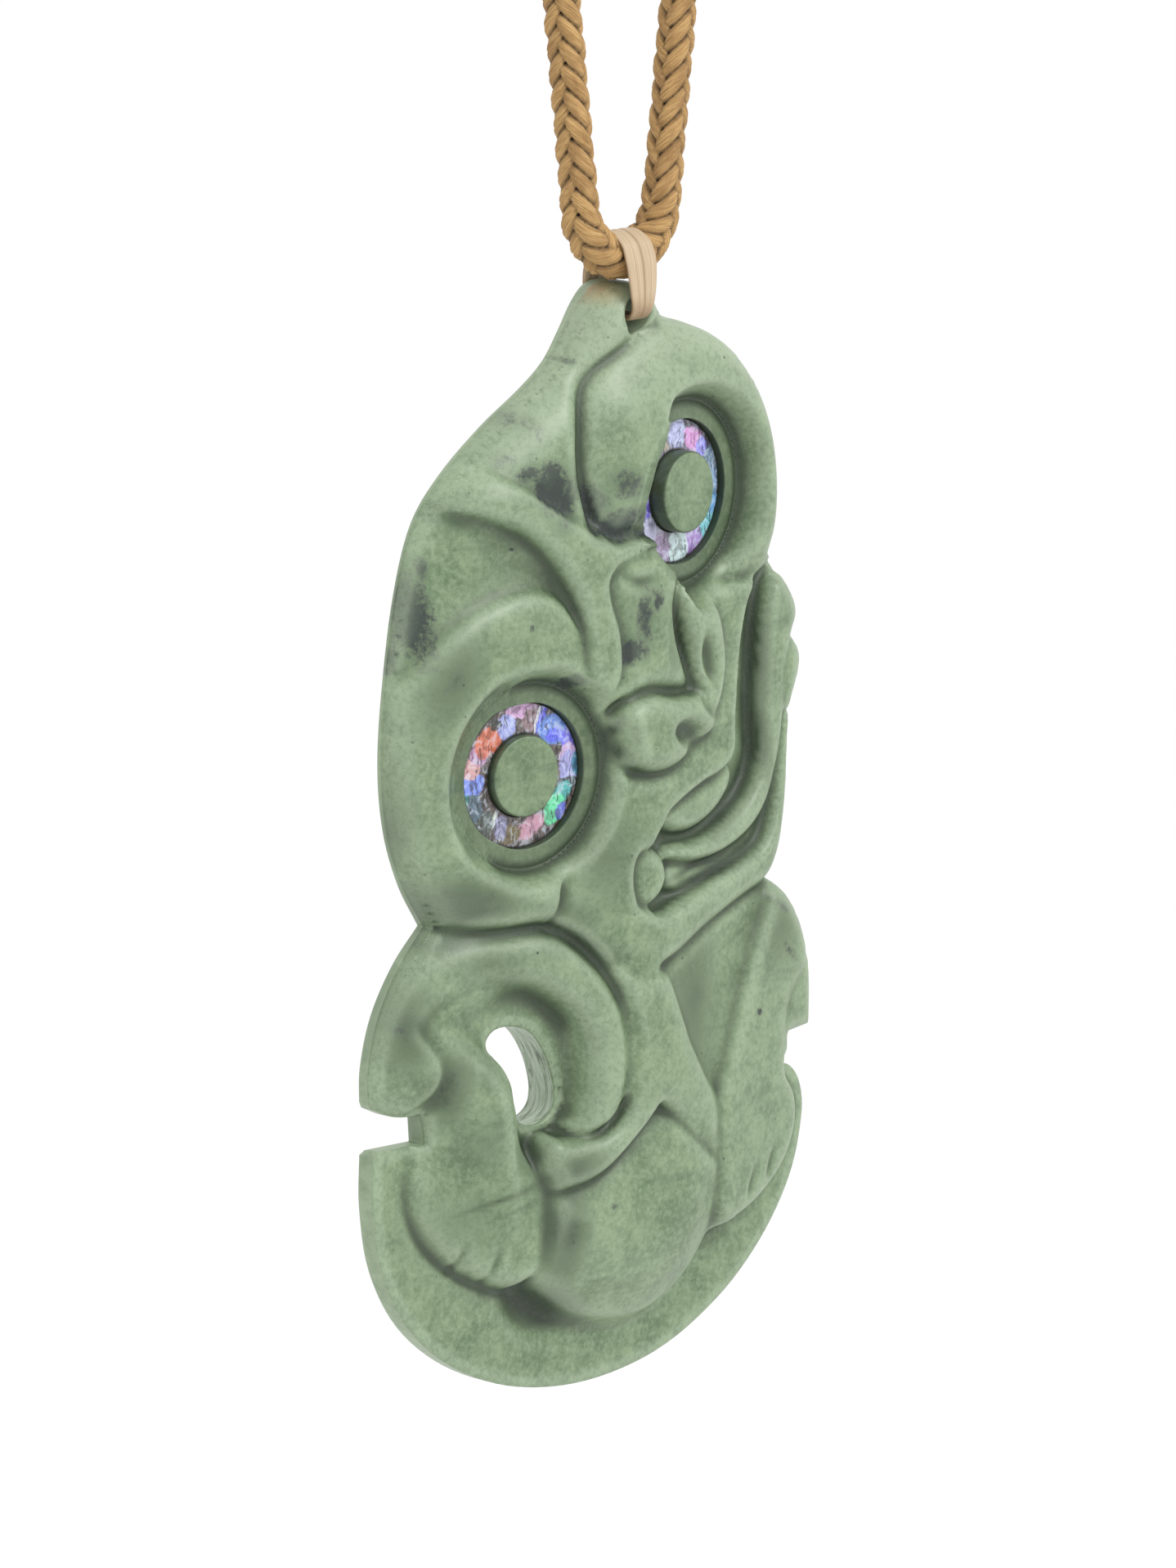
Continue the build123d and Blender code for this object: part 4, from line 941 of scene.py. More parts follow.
def shade_wear_and_highlight_marks(height, inside, spacing):
    """How hollow and how crested each node is: how far it lies under or over its surroundings. Hollow nodes
    get painted shade, crested ones a paler colour for wear and for painted highlight.
    """
    field = np.where(inside, height, -RIM_THICKNESS)
    everywhere = np.ones(field.shape)
    wide, fine = (softened(field, everywhere, reach / spacing) - field for reach in (WIDE_REACH, FINE_REACH))
    hollow = (np.clip(wide / WIDE_HOLLOW, 0, 1) * WIDE_SHARE
              + np.clip(fine / FINE_HOLLOW, 0, 1) * FINE_SHARE)
    return hollow.ravel(), np.clip(-fine / FULL_CREST, 0, 1).ravel()


def grid_triangles(cells, number, height):
    """Two triangles for each kept cell, split along the diagonal whose ends are nearer in height."""
    corners = number[:-1, :-1], number[:-1, 1:], number[1:, 1:], number[1:, :-1]
    a, b, c, d = (corner[cells] for corner in corners)
    level = np.abs(height[a] - height[c]) <= np.abs(height[b] - height[d])
    return np.concatenate([np.stack([a, b, np.where(level, c, d)], -1),
                           np.stack([np.where(level, a, b), c, d], -1)])


def side_rows(spot, way):
    """Rows of points from the front's edge down the cut side to just inside the flat back's edge."""
    rows = []
    for inset in (share * FRONT_ROUND for share in FRONT_INSETS):
        px, pz = (spot + way * inset).T
        rows.append(placed(px, pz, carved_height(px, pz, np.full(len(px), inset))))
    top, back = rows[-1][:, 1], PLACE[1] + RIM_THICKNESS
    for share in WALL_SHARES:
        row = rows[-1].copy()
        row[:, 1] = top + (back - BACK_ROUND - top) * share
        rows.append(row)
    turns = np.radians(BACK_TURNS)
    insets = [*(BACK_ROUND * (1 - np.cos(turns))), BACK_ROUND + BACK_INSET]
    depths = [*(BACK_ROUND * (1 - np.sin(turns))), 0.0]
    for inset, depth in zip(insets, depths):
        px, pz = (spot + way * inset).T
        row = placed(px, pz, np.zeros(len(px)))
        row[:, 1] = back - depth
        rows.append(row)
    return rows


def stone_piece(spacing):
    """The carved stone: the relief on a grid, round patches in the eyes and a rounded edge to a flat back."""
    x, z, margin = stone_grid(spacing)
    shape = x.shape
    cells = kept_cells(x, z, margin)
    number = np.arange(x.size).reshape(shape)
    edges = rim_edges(cells, number)
    fixed = np.zeros(x.size, bool)
    fixed[edges.ravel()] = True
    flat_x, flat_z, flat_margin = x.ravel(), z.ravel(), margin.ravel()
    rim = np.flatnonzero(fixed)
    spot, way, of_eye = snap_rim(flat_x, flat_z, flat_margin, rim, spacing)
    used = settle(x, z, cells, fixed.reshape(shape))
    inside = used.ravel() | (flat_margin > 0.0)
    height = np.zeros(x.size)
    height[inside] = carved_height(flat_x[inside], flat_z[inside], flat_margin[inside])
    even = softened(height.reshape(shape), inside.reshape(shape), EVEN_SPREAD).ravel()
    height += (even - height) * ease(flat_margin - FRONT_ROUND) * inside * ~fixed
    hollow, crest = shade_wear_and_highlight_marks(height.reshape(shape), inside.reshape(shape), spacing)
    nodes = np.flatnonzero(used)
    order = np.full(x.size, -1)
    order[nodes] = np.arange(len(nodes))
    points = [placed(flat_x[nodes], flat_z[nodes], height[nodes])]
    faces = order[grid_triangles(cells, number, height)].tolist()
    marks = {"hollow": [hollow[nodes]], "crest": [crest[nodes]]}
    total = len(nodes)
    for index, eye in enumerate(EYES):
        ring_nodes = rim[of_eye[rim] == index]
        ring_edges = edges[(of_eye[edges] == index).all(axis=1)]
        rows, deep, top = eye_patch(eye, flat_x[ring_nodes], flat_z[ring_nodes], hollow[ring_nodes])
        middle = total + rows.shape[0] * rows.shape[1]
        faces += strip(order[ring_nodes], order[ring_edges], rows.shape[0], total, middle)
        points += [rows.reshape(-1, 3), top]
        marks["hollow"] += [deep.ravel(), np.array([TOP_MARK])]
        marks["crest"] += [np.zeros(middle - total + 1)]
        total = middle + 1
    on_side = of_eye[rim] < 0
    spot, way = spot[on_side], way[on_side]
    rows = side_rows(spot, way)
    side_edges = edges[(of_eye[edges] < 0).all(axis=1)]
    faces += strip(order[rim[on_side]], order[side_edges], len(rows), total)
    points.append(np.concatenate(rows))
    of_hole = np.abs(nearest(*spot.T, curve(HOLE))[0]) < HOLE_NEARNESS
    cut = np.arange(len(rows))[:, None] >= FRONT_INSETS.index(0.0)
    marks["wall"] = [np.zeros(total), (cut * (1.0 + of_hole)).ravel()]
    marks["hollow"].append(np.zeros(cut.size * len(spot)))
    marks["crest"].append(np.repeat(SIDE_CREST, len(spot)))
    piece = new_piece("greenstone_figure", np.concatenate(points), faces, "pendant", ["tiki_body"],
                      {name: np.concatenate(parts) for name, parts in marks.items()})
    close_back(piece)
    return piece


def close_back(piece):
    """Merges doubled nodes and fills the flat back between its rim loops with plain triangles."""
    work = bmesh.new()
    work.from_mesh(piece.data)
    bmesh.ops.remove_doubles(work, verts=work.verts, dist=1e-6)
    bmesh.ops.dissolve_degenerate(work, dist=1e-7, edges=work.edges)
    open_edges = [edge for edge in work.edges if edge.is_boundary]
    made = bmesh.ops.triangle_fill(work, edges=open_edges, use_beauty=True, normal=(0, 1, 0))
    for face in made["geom"]:
        if isinstance(face, bmesh.types.BMFace):
            face.smooth = False
            if face.normal.y < 0:
                face.normal_flip()
    loose = [edge for edge in work.edges if not edge.is_manifold]
    if loose:
        raise RuntimeError("the stone has %d open edges" % len(loose))
    work.to_mesh(piece.data)
    work.free()


def patch_field(x, z, patches):
    """How deep in one of the patches each point lies: its strength in its middle, 0 from its rim out.

    The strongest patch counts, and the places kept clear are taken from it.
    """
    field, cleared = np.zeros(len(x)), np.zeros(len(x))
    for patch in patches:
        along, across = turned(x, z, patch, patch.turn)
        out = np.hypot(along / patch.half_width, across / patch.half_height)
        share = np.maximum(1.0 - out / 2.0, 0.0)
        field = np.maximum(field, patch.strength * share)
        cleared = np.minimum(cleared, patch.strength * share)
    return field + cleared


# The plait: columns of slanted stitches round the cord, and how one stitch is shaped. Places along
# a stitch are in half pitches, places across it in half columns, and heights in its own height.
STITCH_COLUMNS = 4
STITCH_RISE = 0.5
STITCH_REACH = 1.36
STITCH_POINT = 3.2
STITCH_WIDTH = 1.06
STITCH_ROUND = 2.2
STITCH_FOOT = 0.52
STITCH_UNEVEN = 0.05
MIDDLE_CREASE = 0.16
MIDDLE_CREASE_WIDTH = 0.10
SIDE_CREASE = 0.07
SIDE_CREASE_WIDTH = 0.07
SIDE_CREASE_PLACE = 0.52
STITCH_LOWEST = -0.15
STITCH_HIGHEST = 1.1

# The plait on the cord, in millimetres and radians: how it is turned, how it twists in the bend
# and over what length, how deep it lies, and how much fuller the cord is in the bend
PLAIT_TURN = math.radians(64.0)
TWIST_AT_BEND = math.radians(37.0)
TWIST_LENGTH = 22.0
PLAIT_SUNK = 1.04
PLAIT_DEPTH = 0.86
BEND_FULLNESS = 0.46
BEND_LENGTH = 7.0

# The cord's rows of points: fine ones near the pendant, coarse ones on each side beyond that
FINE_PLAIT = 42.0
FINE_STEP = 0.16
COARSE_ROWS = 660
CORD_END = 0.3
CORD_AROUND = 48


def plait(run, turn, pitch):
    """Radius of the plaited cord, and its stitches' height and lay, at each run and turn round it.

    Each column holds one stitch a pitch, slanted to alternate sides. A stitch is a leaf across
    which the height is rounded, with a fine crease between its two yarns, and its ends dip under
    the next column's. The surface is the highest of them all.
    """
    half_column = 2 * math.pi * CORD_RADIUS / STITCH_COLUMNS / 2
    middle = CORD_LENGTH / 2
    twisted = turn - TWIST_AT_BEND * ease((run - middle) / TWIST_LENGTH + 0.5) - PLAIT_TURN
    best = np.full(run.shape, -1.0)
    lay = np.zeros(run.shape + (3,))
    for column in range(STITCH_COLUMNS):
        slant = 1.0 if column % 2 == 0 else -1.0
        centre = (column + 0.5) * 2 * math.pi / STITCH_COLUMNS
        away = (twisted - centre + math.pi) % (2 * math.pi) - math.pi
        across = away * CORD_RADIUS / half_column
        shifted = run / pitch - slant * across * STITCH_RISE + 0.25 * (1.0 - slant)
        for ahead in (0.0, 1.0):
            number = np.floor(shifted) + ahead
            v = (shifted - number) * 2.0
            reach = np.clip(1.0 - (np.abs(across) / STITCH_REACH)**STITCH_POINT, 0.0, 1.0)
            share = np.abs(v) / (STITCH_WIDTH * reach**0.5 + 1e-6)
            crown = np.sqrt(np.clip(1.0 - share**STITCH_ROUND, 0.0, 1.0))
            beside = (np.abs(v) - SIDE_CREASE_PLACE) / SIDE_CREASE_WIDTH
            crease = (MIDDLE_CREASE * np.exp(-(v / MIDDLE_CREASE_WIDTH)**2)
                      + SIDE_CREASE * np.exp(-beside**2))
            height = crown * (STITCH_FOOT + (1.0 - STITCH_FOOT) * reach) - crease
            wave = np.sin(number * 2.4 + column * 1.9)
            height = np.where(share < 1.0, height * (1.0 + STITCH_UNEVEN * wave), -1.0)
            higher = height > best
            best = np.where(higher, height, best)
            values = np.stack([across * half_column + number * 3.7, v + column * 5.0, wave], -1)
            lay = np.where(higher[..., None], values, lay)
    best = np.clip(best, STITCH_LOWEST, STITCH_HIGHEST)
    fuller = BEND_FULLNESS * np.exp(-((run - middle) / BEND_LENGTH)**2)
    return CORD_RADIUS - PLAIT_SUNK + PLAIT_DEPTH * best + fuller, best, lay


def cord_piece(pitch):
    """The plaited neck cord: a tube round the loop's line whose radius follows the plait."""
    half = CORD_LENGTH / 2
    fine = np.arange(half - FINE_PLAIT, half + FINE_PLAIT, FINE_STEP)
    coarse = (half - FINE_PLAIT - CORD_END) / COARSE_ROWS
    run = np.concatenate([np.arange(CORD_END, half - FINE_PLAIT - coarse / 2, coarse), fine,
                          np.arange(fine[-1] + coarse, CORD_LENGTH - CORD_END, coarse)])
    run_grid, turn_grid = np.meshgrid(run, whole_turn(CORD_AROUND), indexing="ij")
    radius, crown, lay = plait(run_grid, turn_grid, pitch)
    return new_piece("plaited_neck_cord", round_the_loop(run, turn_grid, radius),
                     tube_faces(len(run), CORD_AROUND), "neck_loop", ["neck_cord"],
                     {"crown": crown.ravel(), "lay": lay.reshape(-1, 3)})


# The binding's thread: how far apart its turns are, how deep its round lies and how high it
# stands, how far its end faces are from the cord, and its rows and points around
BINDING_PITCH = 0.9
BINDING_SUNK = 0.22
BINDING_BEAD = 0.2
BINDING_GAP = 0.08
BINDING_ROWS = 260
BINDING_AROUND = 48


def binding_piece():
    """The whipped sleeve over the cord's join: a tube with a half-round bead for each thread turn."""
    run = np.linspace(-BINDING_LENGTH / 2, BINDING_LENGTH / 2, BINDING_ROWS)
    closing = np.array([0.0, 0.25, 0.5, 0.75])
    rows = np.concatenate([run[[0] * 4], run, run[[-1] * 4]])
    open_share = np.concatenate([closing, np.ones(len(run)), closing[::-1]])[:, None]
    run_grid, turn_grid = np.meshgrid(rows, whole_turn(BINDING_AROUND), indexing="ij")
    phase = run_grid / BINDING_PITCH + turn_grid / (2 * math.pi)
    bead = np.sqrt(np.clip(1.0 - (2 * (phase % 1.0) - 1.0)**2, 0.0, 1.0))
    radius = BINDING_RADIUS - BINDING_SUNK + BINDING_BEAD * bead
    radius = CORD_RADIUS + BINDING_GAP + (radius - CORD_RADIUS - BINDING_GAP) * open_share
    lay = np.stack([turn_grid * BINDING_RADIUS, (phase % 1.0) * 2 - 1, np.floor(phase)], -1)
    return new_piece("whipped_binding", round_the_loop(rows % CORD_LENGTH, turn_grid, radius),
                     tube_faces(len(rows), BINDING_AROUND), "neck_loop", ["cord_binding"],
                     {"crown": (bead * open_share).ravel(), "lay": lay.reshape(-1, 3)})


# The lashing's closed way through the bore and over the cord: depth and height from the hinge.
# Then its width at each of those points, its thickness to each side, how flat its oval is, how
# deep its threads part, and its steps between points and points around
LASHING_WAY = [
    (-2.2, -5.7), (-2.9, -4.9), (-3.05, -3.4), (-2.95, -1.6), (-2.7, 0.0), (-1.95, 1.6), (0.0, 2.48),
    (1.95, 1.6), (2.75, 0.0), (3.4, -1.6), (3.62, -3.4), (3.55, -4.9), (2.7, -5.72), (0.0, -5.75),
]
LASHING_WIDTHS = [2.5, 2.8, 3.4, 3.9, 4.2, 4.1, 4.0, 3.9, 3.8, 3.5, 3.1, 2.7, 2.5, 2.4]
LASHING_HALF = 0.30
LASHING_SIDES = 0.55
LASHING_FACES = 0.6
LASHING_PARTING = 0.28
LASHING_STEPS = 14
LASHING_AROUND = 64


def lashing_piece(strands):
    """The lashing: a flat band of side by side threads along a closed way.

    Its section is a flat oval whose outside has one shallow round for each thread.
    """
    way = curve(LASHING_WAY, steps=LASHING_STEPS)
    count = len(way)
    widths = np.interp(np.arange(count) / LASHING_STEPS, np.arange(len(LASHING_WIDTHS) + 1),
                       LASHING_WIDTHS + LASHING_WIDTHS[:1])
    ahead = np.roll(way, -1, axis=0) - np.roll(way, 1, axis=0)
    ahead /= np.hypot(*ahead.T)[:, None]
    turn = whole_turn(LASHING_AROUND)
    cos, sin = np.cos(turn), np.sin(turn)
    wide = np.sign(cos) * np.abs(cos)**LASHING_SIDES
    thick = np.sign(sin) * np.abs(sin)**LASHING_FACES
    thread = np.abs(np.sin((wide + 1.0) * strands * math.pi / 2))**0.5
    deep = LASHING_HALF * thick * (1.0 - LASHING_PARTING + LASHING_PARTING * thread)
    across = widths[:, None] / 2 * wide
    points = np.stack([across, way[:, 0, None] - ahead[:, 1, None] * deep,
                       way[:, 1, None] + ahead[:, 0, None] * deep + HINGE_HEIGHT], -1)
    run = np.concatenate([[0.0], np.cumsum(np.hypot(*np.diff(way, axis=0).T))])
    lay = np.zeros(points.shape)
    lay[..., 0] = run[:, None]
    lay[..., 1] = wide * strands
    crown = np.broadcast_to(thread, across.shape)
    return new_piece("thread_lashing", points.reshape(-1, 3),
                     tube_faces(count, LASHING_AROUND, closed_rows=True), "pendant", ["lashing"],
                     {"crown": crown.ravel(), "lay": lay.reshape(-1, 3)})


# Colour flashes of each shell ring: place from the ring's middle and half sizes in millimetres,
# turn in degrees, then the colour as it looks on screen
Flash = namedtuple("Flash", "across up half_width half_height turn red green blue")
LEFT_FLASHES = [Flash(*row) for row in (
    (0.2, 6.6, 1.5, 0.75, 0, 216, 172, 216), (1.3, 5.4, 0.8, 0.9, -40, 150, 126, 132),
    (2.6, 5.5, 0.42, 1.4, -18, 96, 96, 236), (2.1, 5.3, 0.16, 1.2, -18, 216, 220, 226),
    (4.1, 4.1, 1.5, 1.25, 0, 112, 152, 236), (4.3, 3.5, 0.9, 0.6, 0, 94, 104, 240),
    (6.2, 2.7, 0.85, 1.2, 10, 120, 116, 236), (5.9, 1.4, 0.8, 0.9, 0, 202, 172, 212),
    (6.1, 0, 1, 1.3, 0, 164, 166, 224), (6.9, 0.3, 0.4, 0.9, 0, 60, 130, 160),
    (5.9, -1.5, 0.9, 0.5, 0, 30, 52, 42), (5.1, -2.4, 1.1, 0.7, 30, 72, 178, 176),
    (4.2, -3.9, 0.85, 1.3, -24, 104, 226, 168), (5, -4.2, 0.45, 0.7, -30, 104, 112, 212),
    (1.2, -5.3, 1.5, 0.75, 28, 198, 148, 168), (-1.5, -5.8, 1.2, 0.7, 0, 110, 98, 60),
    (-2.5, -5, 0.7, 0.95, -14, 152, 152, 188), (-3.5, -4.3, 0.22, 0.9, -20, 216, 226, 216),
    (-4.8, -4.5, 1, 1.2, -30, 86, 98, 92), (-6.1, -2.6, 1, 1.2, 0, 80, 106, 122),
    (-7, -1.6, 0.35, 0.8, 0, 56, 142, 132), (-6, -0.2, 1.15, 0.85, 0, 122, 146, 236),
    (-6.2, 1.3, 0.95, 0.8, 0, 216, 168, 168), (-5.2, 2.6, 0.9, 0.8, 30, 188, 142, 182),
    (-4, 3.8, 1.35, 1.05, 40, 218, 118, 86), (-1.8, 5, 0.95, 1, 0, 162, 172, 236),
    (-3.1, 5.4, 0.5, 0.5, 0, 42, 46, 32),
)]
RIGHT_FLASHES = [Flash(*row) for row in (
    (-3.9, 4.9, 1.3, 1.3, 20, 172, 172, 226), (-1.5, 5.6, 1, 1.2, 0, 178, 168, 154),
    (0.2, 5.7, 1.2, 1.2, 0, 188, 194, 236), (3, 4.8, 1.3, 0.9, -30, 218, 154, 216),
    (4.4, 3.8, 0.7, 0.8, 0, 152, 152, 240), (6.1, 1.8, 1.1, 1.7, 0, 112, 136, 160),
    (6.4, -0.3, 0.8, 1.4, 0, 150, 176, 206), (5.3, -3.2, 1.3, 1.9, -22, 132, 206, 216),
    (6.1, -1.9, 0.7, 0.9, 0, 120, 172, 222), (2.9, -5.2, 1.2, 1.3, -16, 172, 142, 208),
    (0.5, -5.7, 1.3, 1.3, 0, 194, 218, 218), (-2.1, -5.3, 1, 1.3, 16, 152, 132, 168),
    (-4.9, -1.2, 0.9, 1, 0, 112, 98, 202), (-5, 3.1, 1.1, 1.1, 0, 202, 204, 236),
    (-5.2, 1.4, 0.7, 0.6, 0, 122, 52, 28), (-4.3, -3.5, 1.1, 1, 0, 172, 172, 202),
)]


def stone_material(look):
    """Sage greenstone: cloudy mottling, slanted streaks, near-black clouds, painted shade in the hollows, and
    edges painted paler for wear and for highlight.

    The marks are read on the carved front and the cut sides only, not on the flat back.
    """
    material, shader, blank, here = new_material("greenstone")
    broad = here.noise(0.055, 4.0, 0.55, 0.4)
    cloudy = here.noise(0.30, 4.0, 0.62, 0.6)
    grain = here.noise(1.7, 4.0, 0.7)
    dust = here.noise(7.0, 2.0, 0.6)
    streak = here.mapped(turn=34.0, Scale=(0.05, 0.2, 0.5)).noise(1.0, 4.0, 0.6, 0.3)
    back = PLACE[1] + RIM_THICKNESS
    carved = 1.0 - here.part(1).between(back - 0.05, back - 0.01)
    marks = "hollow", "crest", "cloud", "shade", "pale", "stain", "wall"
    hollow, crest, cloud, shade, pale, stain, wall = (blank.attribute(mark) * carved for mark in marks)
    # Patches below 0 take away the hollows' painted shade there
    hollow = hollow.above((shade * -1.0).most(0.0))
    drilled = wall.above(1.0)

    # The stone's own colours from the broad mottling to the paler rows near the nub, then the darker
    # patches: painted shade, with some of the stone's own dark veins
    base = blank.color(look.deep).blend((broad * 0.45 + cloudy * 0.55).between(0.38, 0.60), look.light)
    base = base.blend(grain.between(0.42, 0.72) * look.mottling, look.bright)
    base = base.blend(streak.between(0.55, 0.72) * 0.3, look.streak)
    base = base.blend(pale * (0.55 + grain * 0.5), look.crown)
    uneven = 0.6 + cloudy * 1.6 + (grain - 0.5) * 1.2
    base = base.blend((shade.most(0.0) * uneven).least(1.0), look.shade)

    # Painted shade in the hollows, dark clouds with ragged edges, the cord's stain, and the crests
    # painted paler for rubbed wear and for highlight
    base = base.blend((hollow * (0.95 + cloudy * 0.5)).least(1.0) * look.hollow_shade_depth, look.hollow)
    ragged = (cloud + (cloudy - 0.5) * 1.1 + (grain - 0.5) * 1.3).between(0.14, 0.66)
    base = base.blend(ragged * cloud.between(0.0, 0.3) * 0.96, look.cloud)
    base = base.blend(stain * (0.5 + grain), look.stain)
    # Crests painted paler: partly rubbed wear, partly painted highlight on the edges
    base = base.blend(crest * look.edge_wear_and_highlight * (0.5 + dust), look.worn_and_lit_pale)

    # Specks and fine grain over all of it
    cells = here.node("ShaderNodeTexVoronoi", {"feature": "F1"}, {"Vector": here, "Scale": 0.35})
    speck = 1.0 - cells.between(0.035, 0.075)
    base = base.blend(speck * grain.between(0.45, 0.55) * 0.8, look.cloud)
    base = base.blend(abs(dust - 0.5) * 0.26, look.bright)
    base = base.blend((0.5 - grain).most(0.0) * 1.6, look.streak)

    # The cut sides, painted paler than the front, partly as worn stone and partly as painted light,
    # and the hole's wall with its tool marks
    base = base.blend(wall.between(0.3, 1.0) * (0.2 + cloudy * 0.5), look.worn_and_lit_pale)
    tooled = here.mapped(Scale=(0.3, 2.4, 0.3)).noise(1.0, 3.0, 0.7, 0.6)
    base = base.blend(drilled * (0.3 + tooled.between(0.44, 0.56) * 0.6), look.drilled)
    base = base.blend(drilled * (1.0 - tooled.between(0.34, 0.46)) * 0.6, look.hollow)
    uneven_height = grain * 0.45 + dust * 0.35 + cloudy * 0.8 + drilled * tooled * 8.0
    rough = look.roughness + (grain - 0.5) * 0.22 + hollow * 0.10
    set_shader(shader, Base_Color=base, Roughness=rough, Normal=uneven_height.bump(0.5, 0.00009),
               Coat_Weight=0.05, Coat_Roughness=0.35, IOR=1.5)
    return material


def shell_material(eye, flashes, ground, depth, look):
    """Iridescent shell for one eye's ring: soft colour flashes on a streaked ground, and a gloss."""
    material, shader, blank, here = new_material("shell_" + eye.name)
    centre = placed(eye.column, eye.row, eye.face_level)
    local = here.vector("SUBTRACT", tuple(float(value) for value in centre))
    x, z = local.part(0), local.part(2)
    out = (x * x + z * z)**0.5
    ripple = here.noise(0.9, 3.0, 0.6, 1.0)
    fine = here.noise(3.4, 3.0, 0.65, 0.5)
    shake = blank.node("ShaderNodeTexNoise", {}, {"Vector": here, "Scale": 1.1, "Detail": 3.0}, 1)
    shaken = local.vector("ADD", shake.vector("SUBTRACT", (0.5,) * 3).vector("MULTIPLY", (0.9,) * 3))
    streaks = shaken.mapped(turn=28.0, Scale=(3.2, 0.2, 0.35)).noise(1.0, 2.0, 0.5)
    field = blank.color(ground).blend(streaks.between(0.42, 0.62) * 0.8, look.dark)
    field = field.blend(ripple.between(0.5, 0.75) * 0.5, look.olive)
    for flash in flashes:
        spot = shaken.mapped(
            "TEXTURE", -flash.turn, Location=(flash.across, 0.0, flash.up),
            Scale=(look.spread * flash.half_width, 100.0, look.spread * flash.half_height))
        share = 1.0 - spot.vector("LENGTH", (0.0, 0.0, 0.0), output=1).between(0.86, 1.06)
        lit = tuple(min(depth * value, 1.0) for value in tone(flash.red, flash.green, flash.blue))
        field = field.blend(share * 0.94, lit)
    field = field.blend(fine.above(0.5) * 0.7, look.flash)
    # Painted sheen: broad patches blended paler and darker over the shell's colour flashes
    painted_sheen = here.noise(0.75, 2.0, 0.5, 1.4)
    field = field.blend(painted_sheen.between(0.5, 0.66) * 0.42, look.flash)
    field = field.blend((1.0 - painted_sheen.between(0.34, 0.5)) * 0.5, look.dark)
    vein = streaks.between(0.56, 0.62) * ripple.between(0.40, 0.55)
    field = field.blend(vein * look.veins, look.dark)
    inner_rim = 1.0 - (out - RING_INNER / 2).between(0.02, 0.22)
    outer_rim = (out - RING_OUTER / 2 + 0.22).between(0.0, 0.18)
    field = field.blend(inner_rim.most(outer_rim) * 0.85, look.dark)
    set_shader(shader, Base_Color=field, Roughness=0.18 + fine * 0.16, Coat_Weight=0.35, Coat_Roughness=0.08,
               Normal=(ripple * 0.6 - vein).bump(0.35, 0.00006), IOR=1.55)
    return material


def fibre_material(name, look):
    """Plant fibre in stitches: golden crowns with fine fibre lines, and painted shade, deep brown, in the
    gaps between them.
    """
    material, shader, blank, here = new_material(name)
    lay = blank.attribute("lay", "Vector")
    crown = blank.attribute("crown")
    fibre = lay.vector("MULTIPLY", (0.55, 9.0, 1.3)).noise(1.0, 3.0, 0.6)
    patch = lay.vector("MULTIPLY", (0.5, 0.5, 2.0)).noise(0.9, 2.0, 0.5)
    grain = here.noise(5.5, 3.0, 0.6)
    base = blank.color(look.golden).blend(fibre.between(0.35, 0.75) * 0.75, look.pale)
    base = base.blend(patch.between(0.42, 0.7) * 0.45, look.brown)
    base = base.blend((1.0 - fibre.between(0.24, 0.46)) * 0.5, look.brown)
    # Painted shade in the gaps between stitches and between the binding's turns
    base = base.blend(1.0 - crown.between(0.16, 0.88), look.gap)
    base = base.blend(grain.above(0.5) * 0.8, look.pale)
    set_shader(shader, Base_Color=base, Roughness=0.66 + grain * 0.2,
               Normal=(fibre * 0.9 + grain * 0.35).bump(0.7, 0.00012))
    return material


def thread_material(look):
    """Pale flat lashing threads with fine lines along them, painted shade in the partings between them, and
    browner at the stone's bore.
    """
    material, shader, blank, here = new_material("lashing_thread")
    lay = blank.attribute("lay", "Vector")
    crown = blank.attribute("crown")
    fibre = lay.vector("MULTIPLY", (0.10, 3.2, 1.0)).noise(1.0, 4.0, 0.6)
    cloud = here.noise(0.8, 3.0, 0.5)
    base = blank.color(look.thread).blend(fibre.between(0.4, 0.7) * 0.6, look.thread_pale)
    # Painted shade in the partings between threads
    base = base.blend((1.0 - crown.between(0.05, 0.5)) * 0.55, look.thread_brown)
    # Browner low down, towards the bore
    low = 1.0 - (here.part(2) - (HINGE_HEIGHT - 5.6)).between(0.0, 2.6)
    base = base.blend(low * (0.25 + cloud * 0.6), look.thread_brown)
    set_shader(shader, Base_Color=base, Roughness=0.5 + cloud * 0.1, Normal=fibre.bump(0.5, 0.00008))
    return material


def color_property(name, description, rgb):
    return bpy.props.FloatVectorProperty(name=name, description=description, default=tone(*rgb), size=3,
                                         min=0.0, max=1.0, subtype="COLOR")


def share_property(name, description, default):
    return bpy.props.FloatProperty(name=name, description=description, default=default, min=0.0, max=1.0,
                                   subtype="FACTOR")


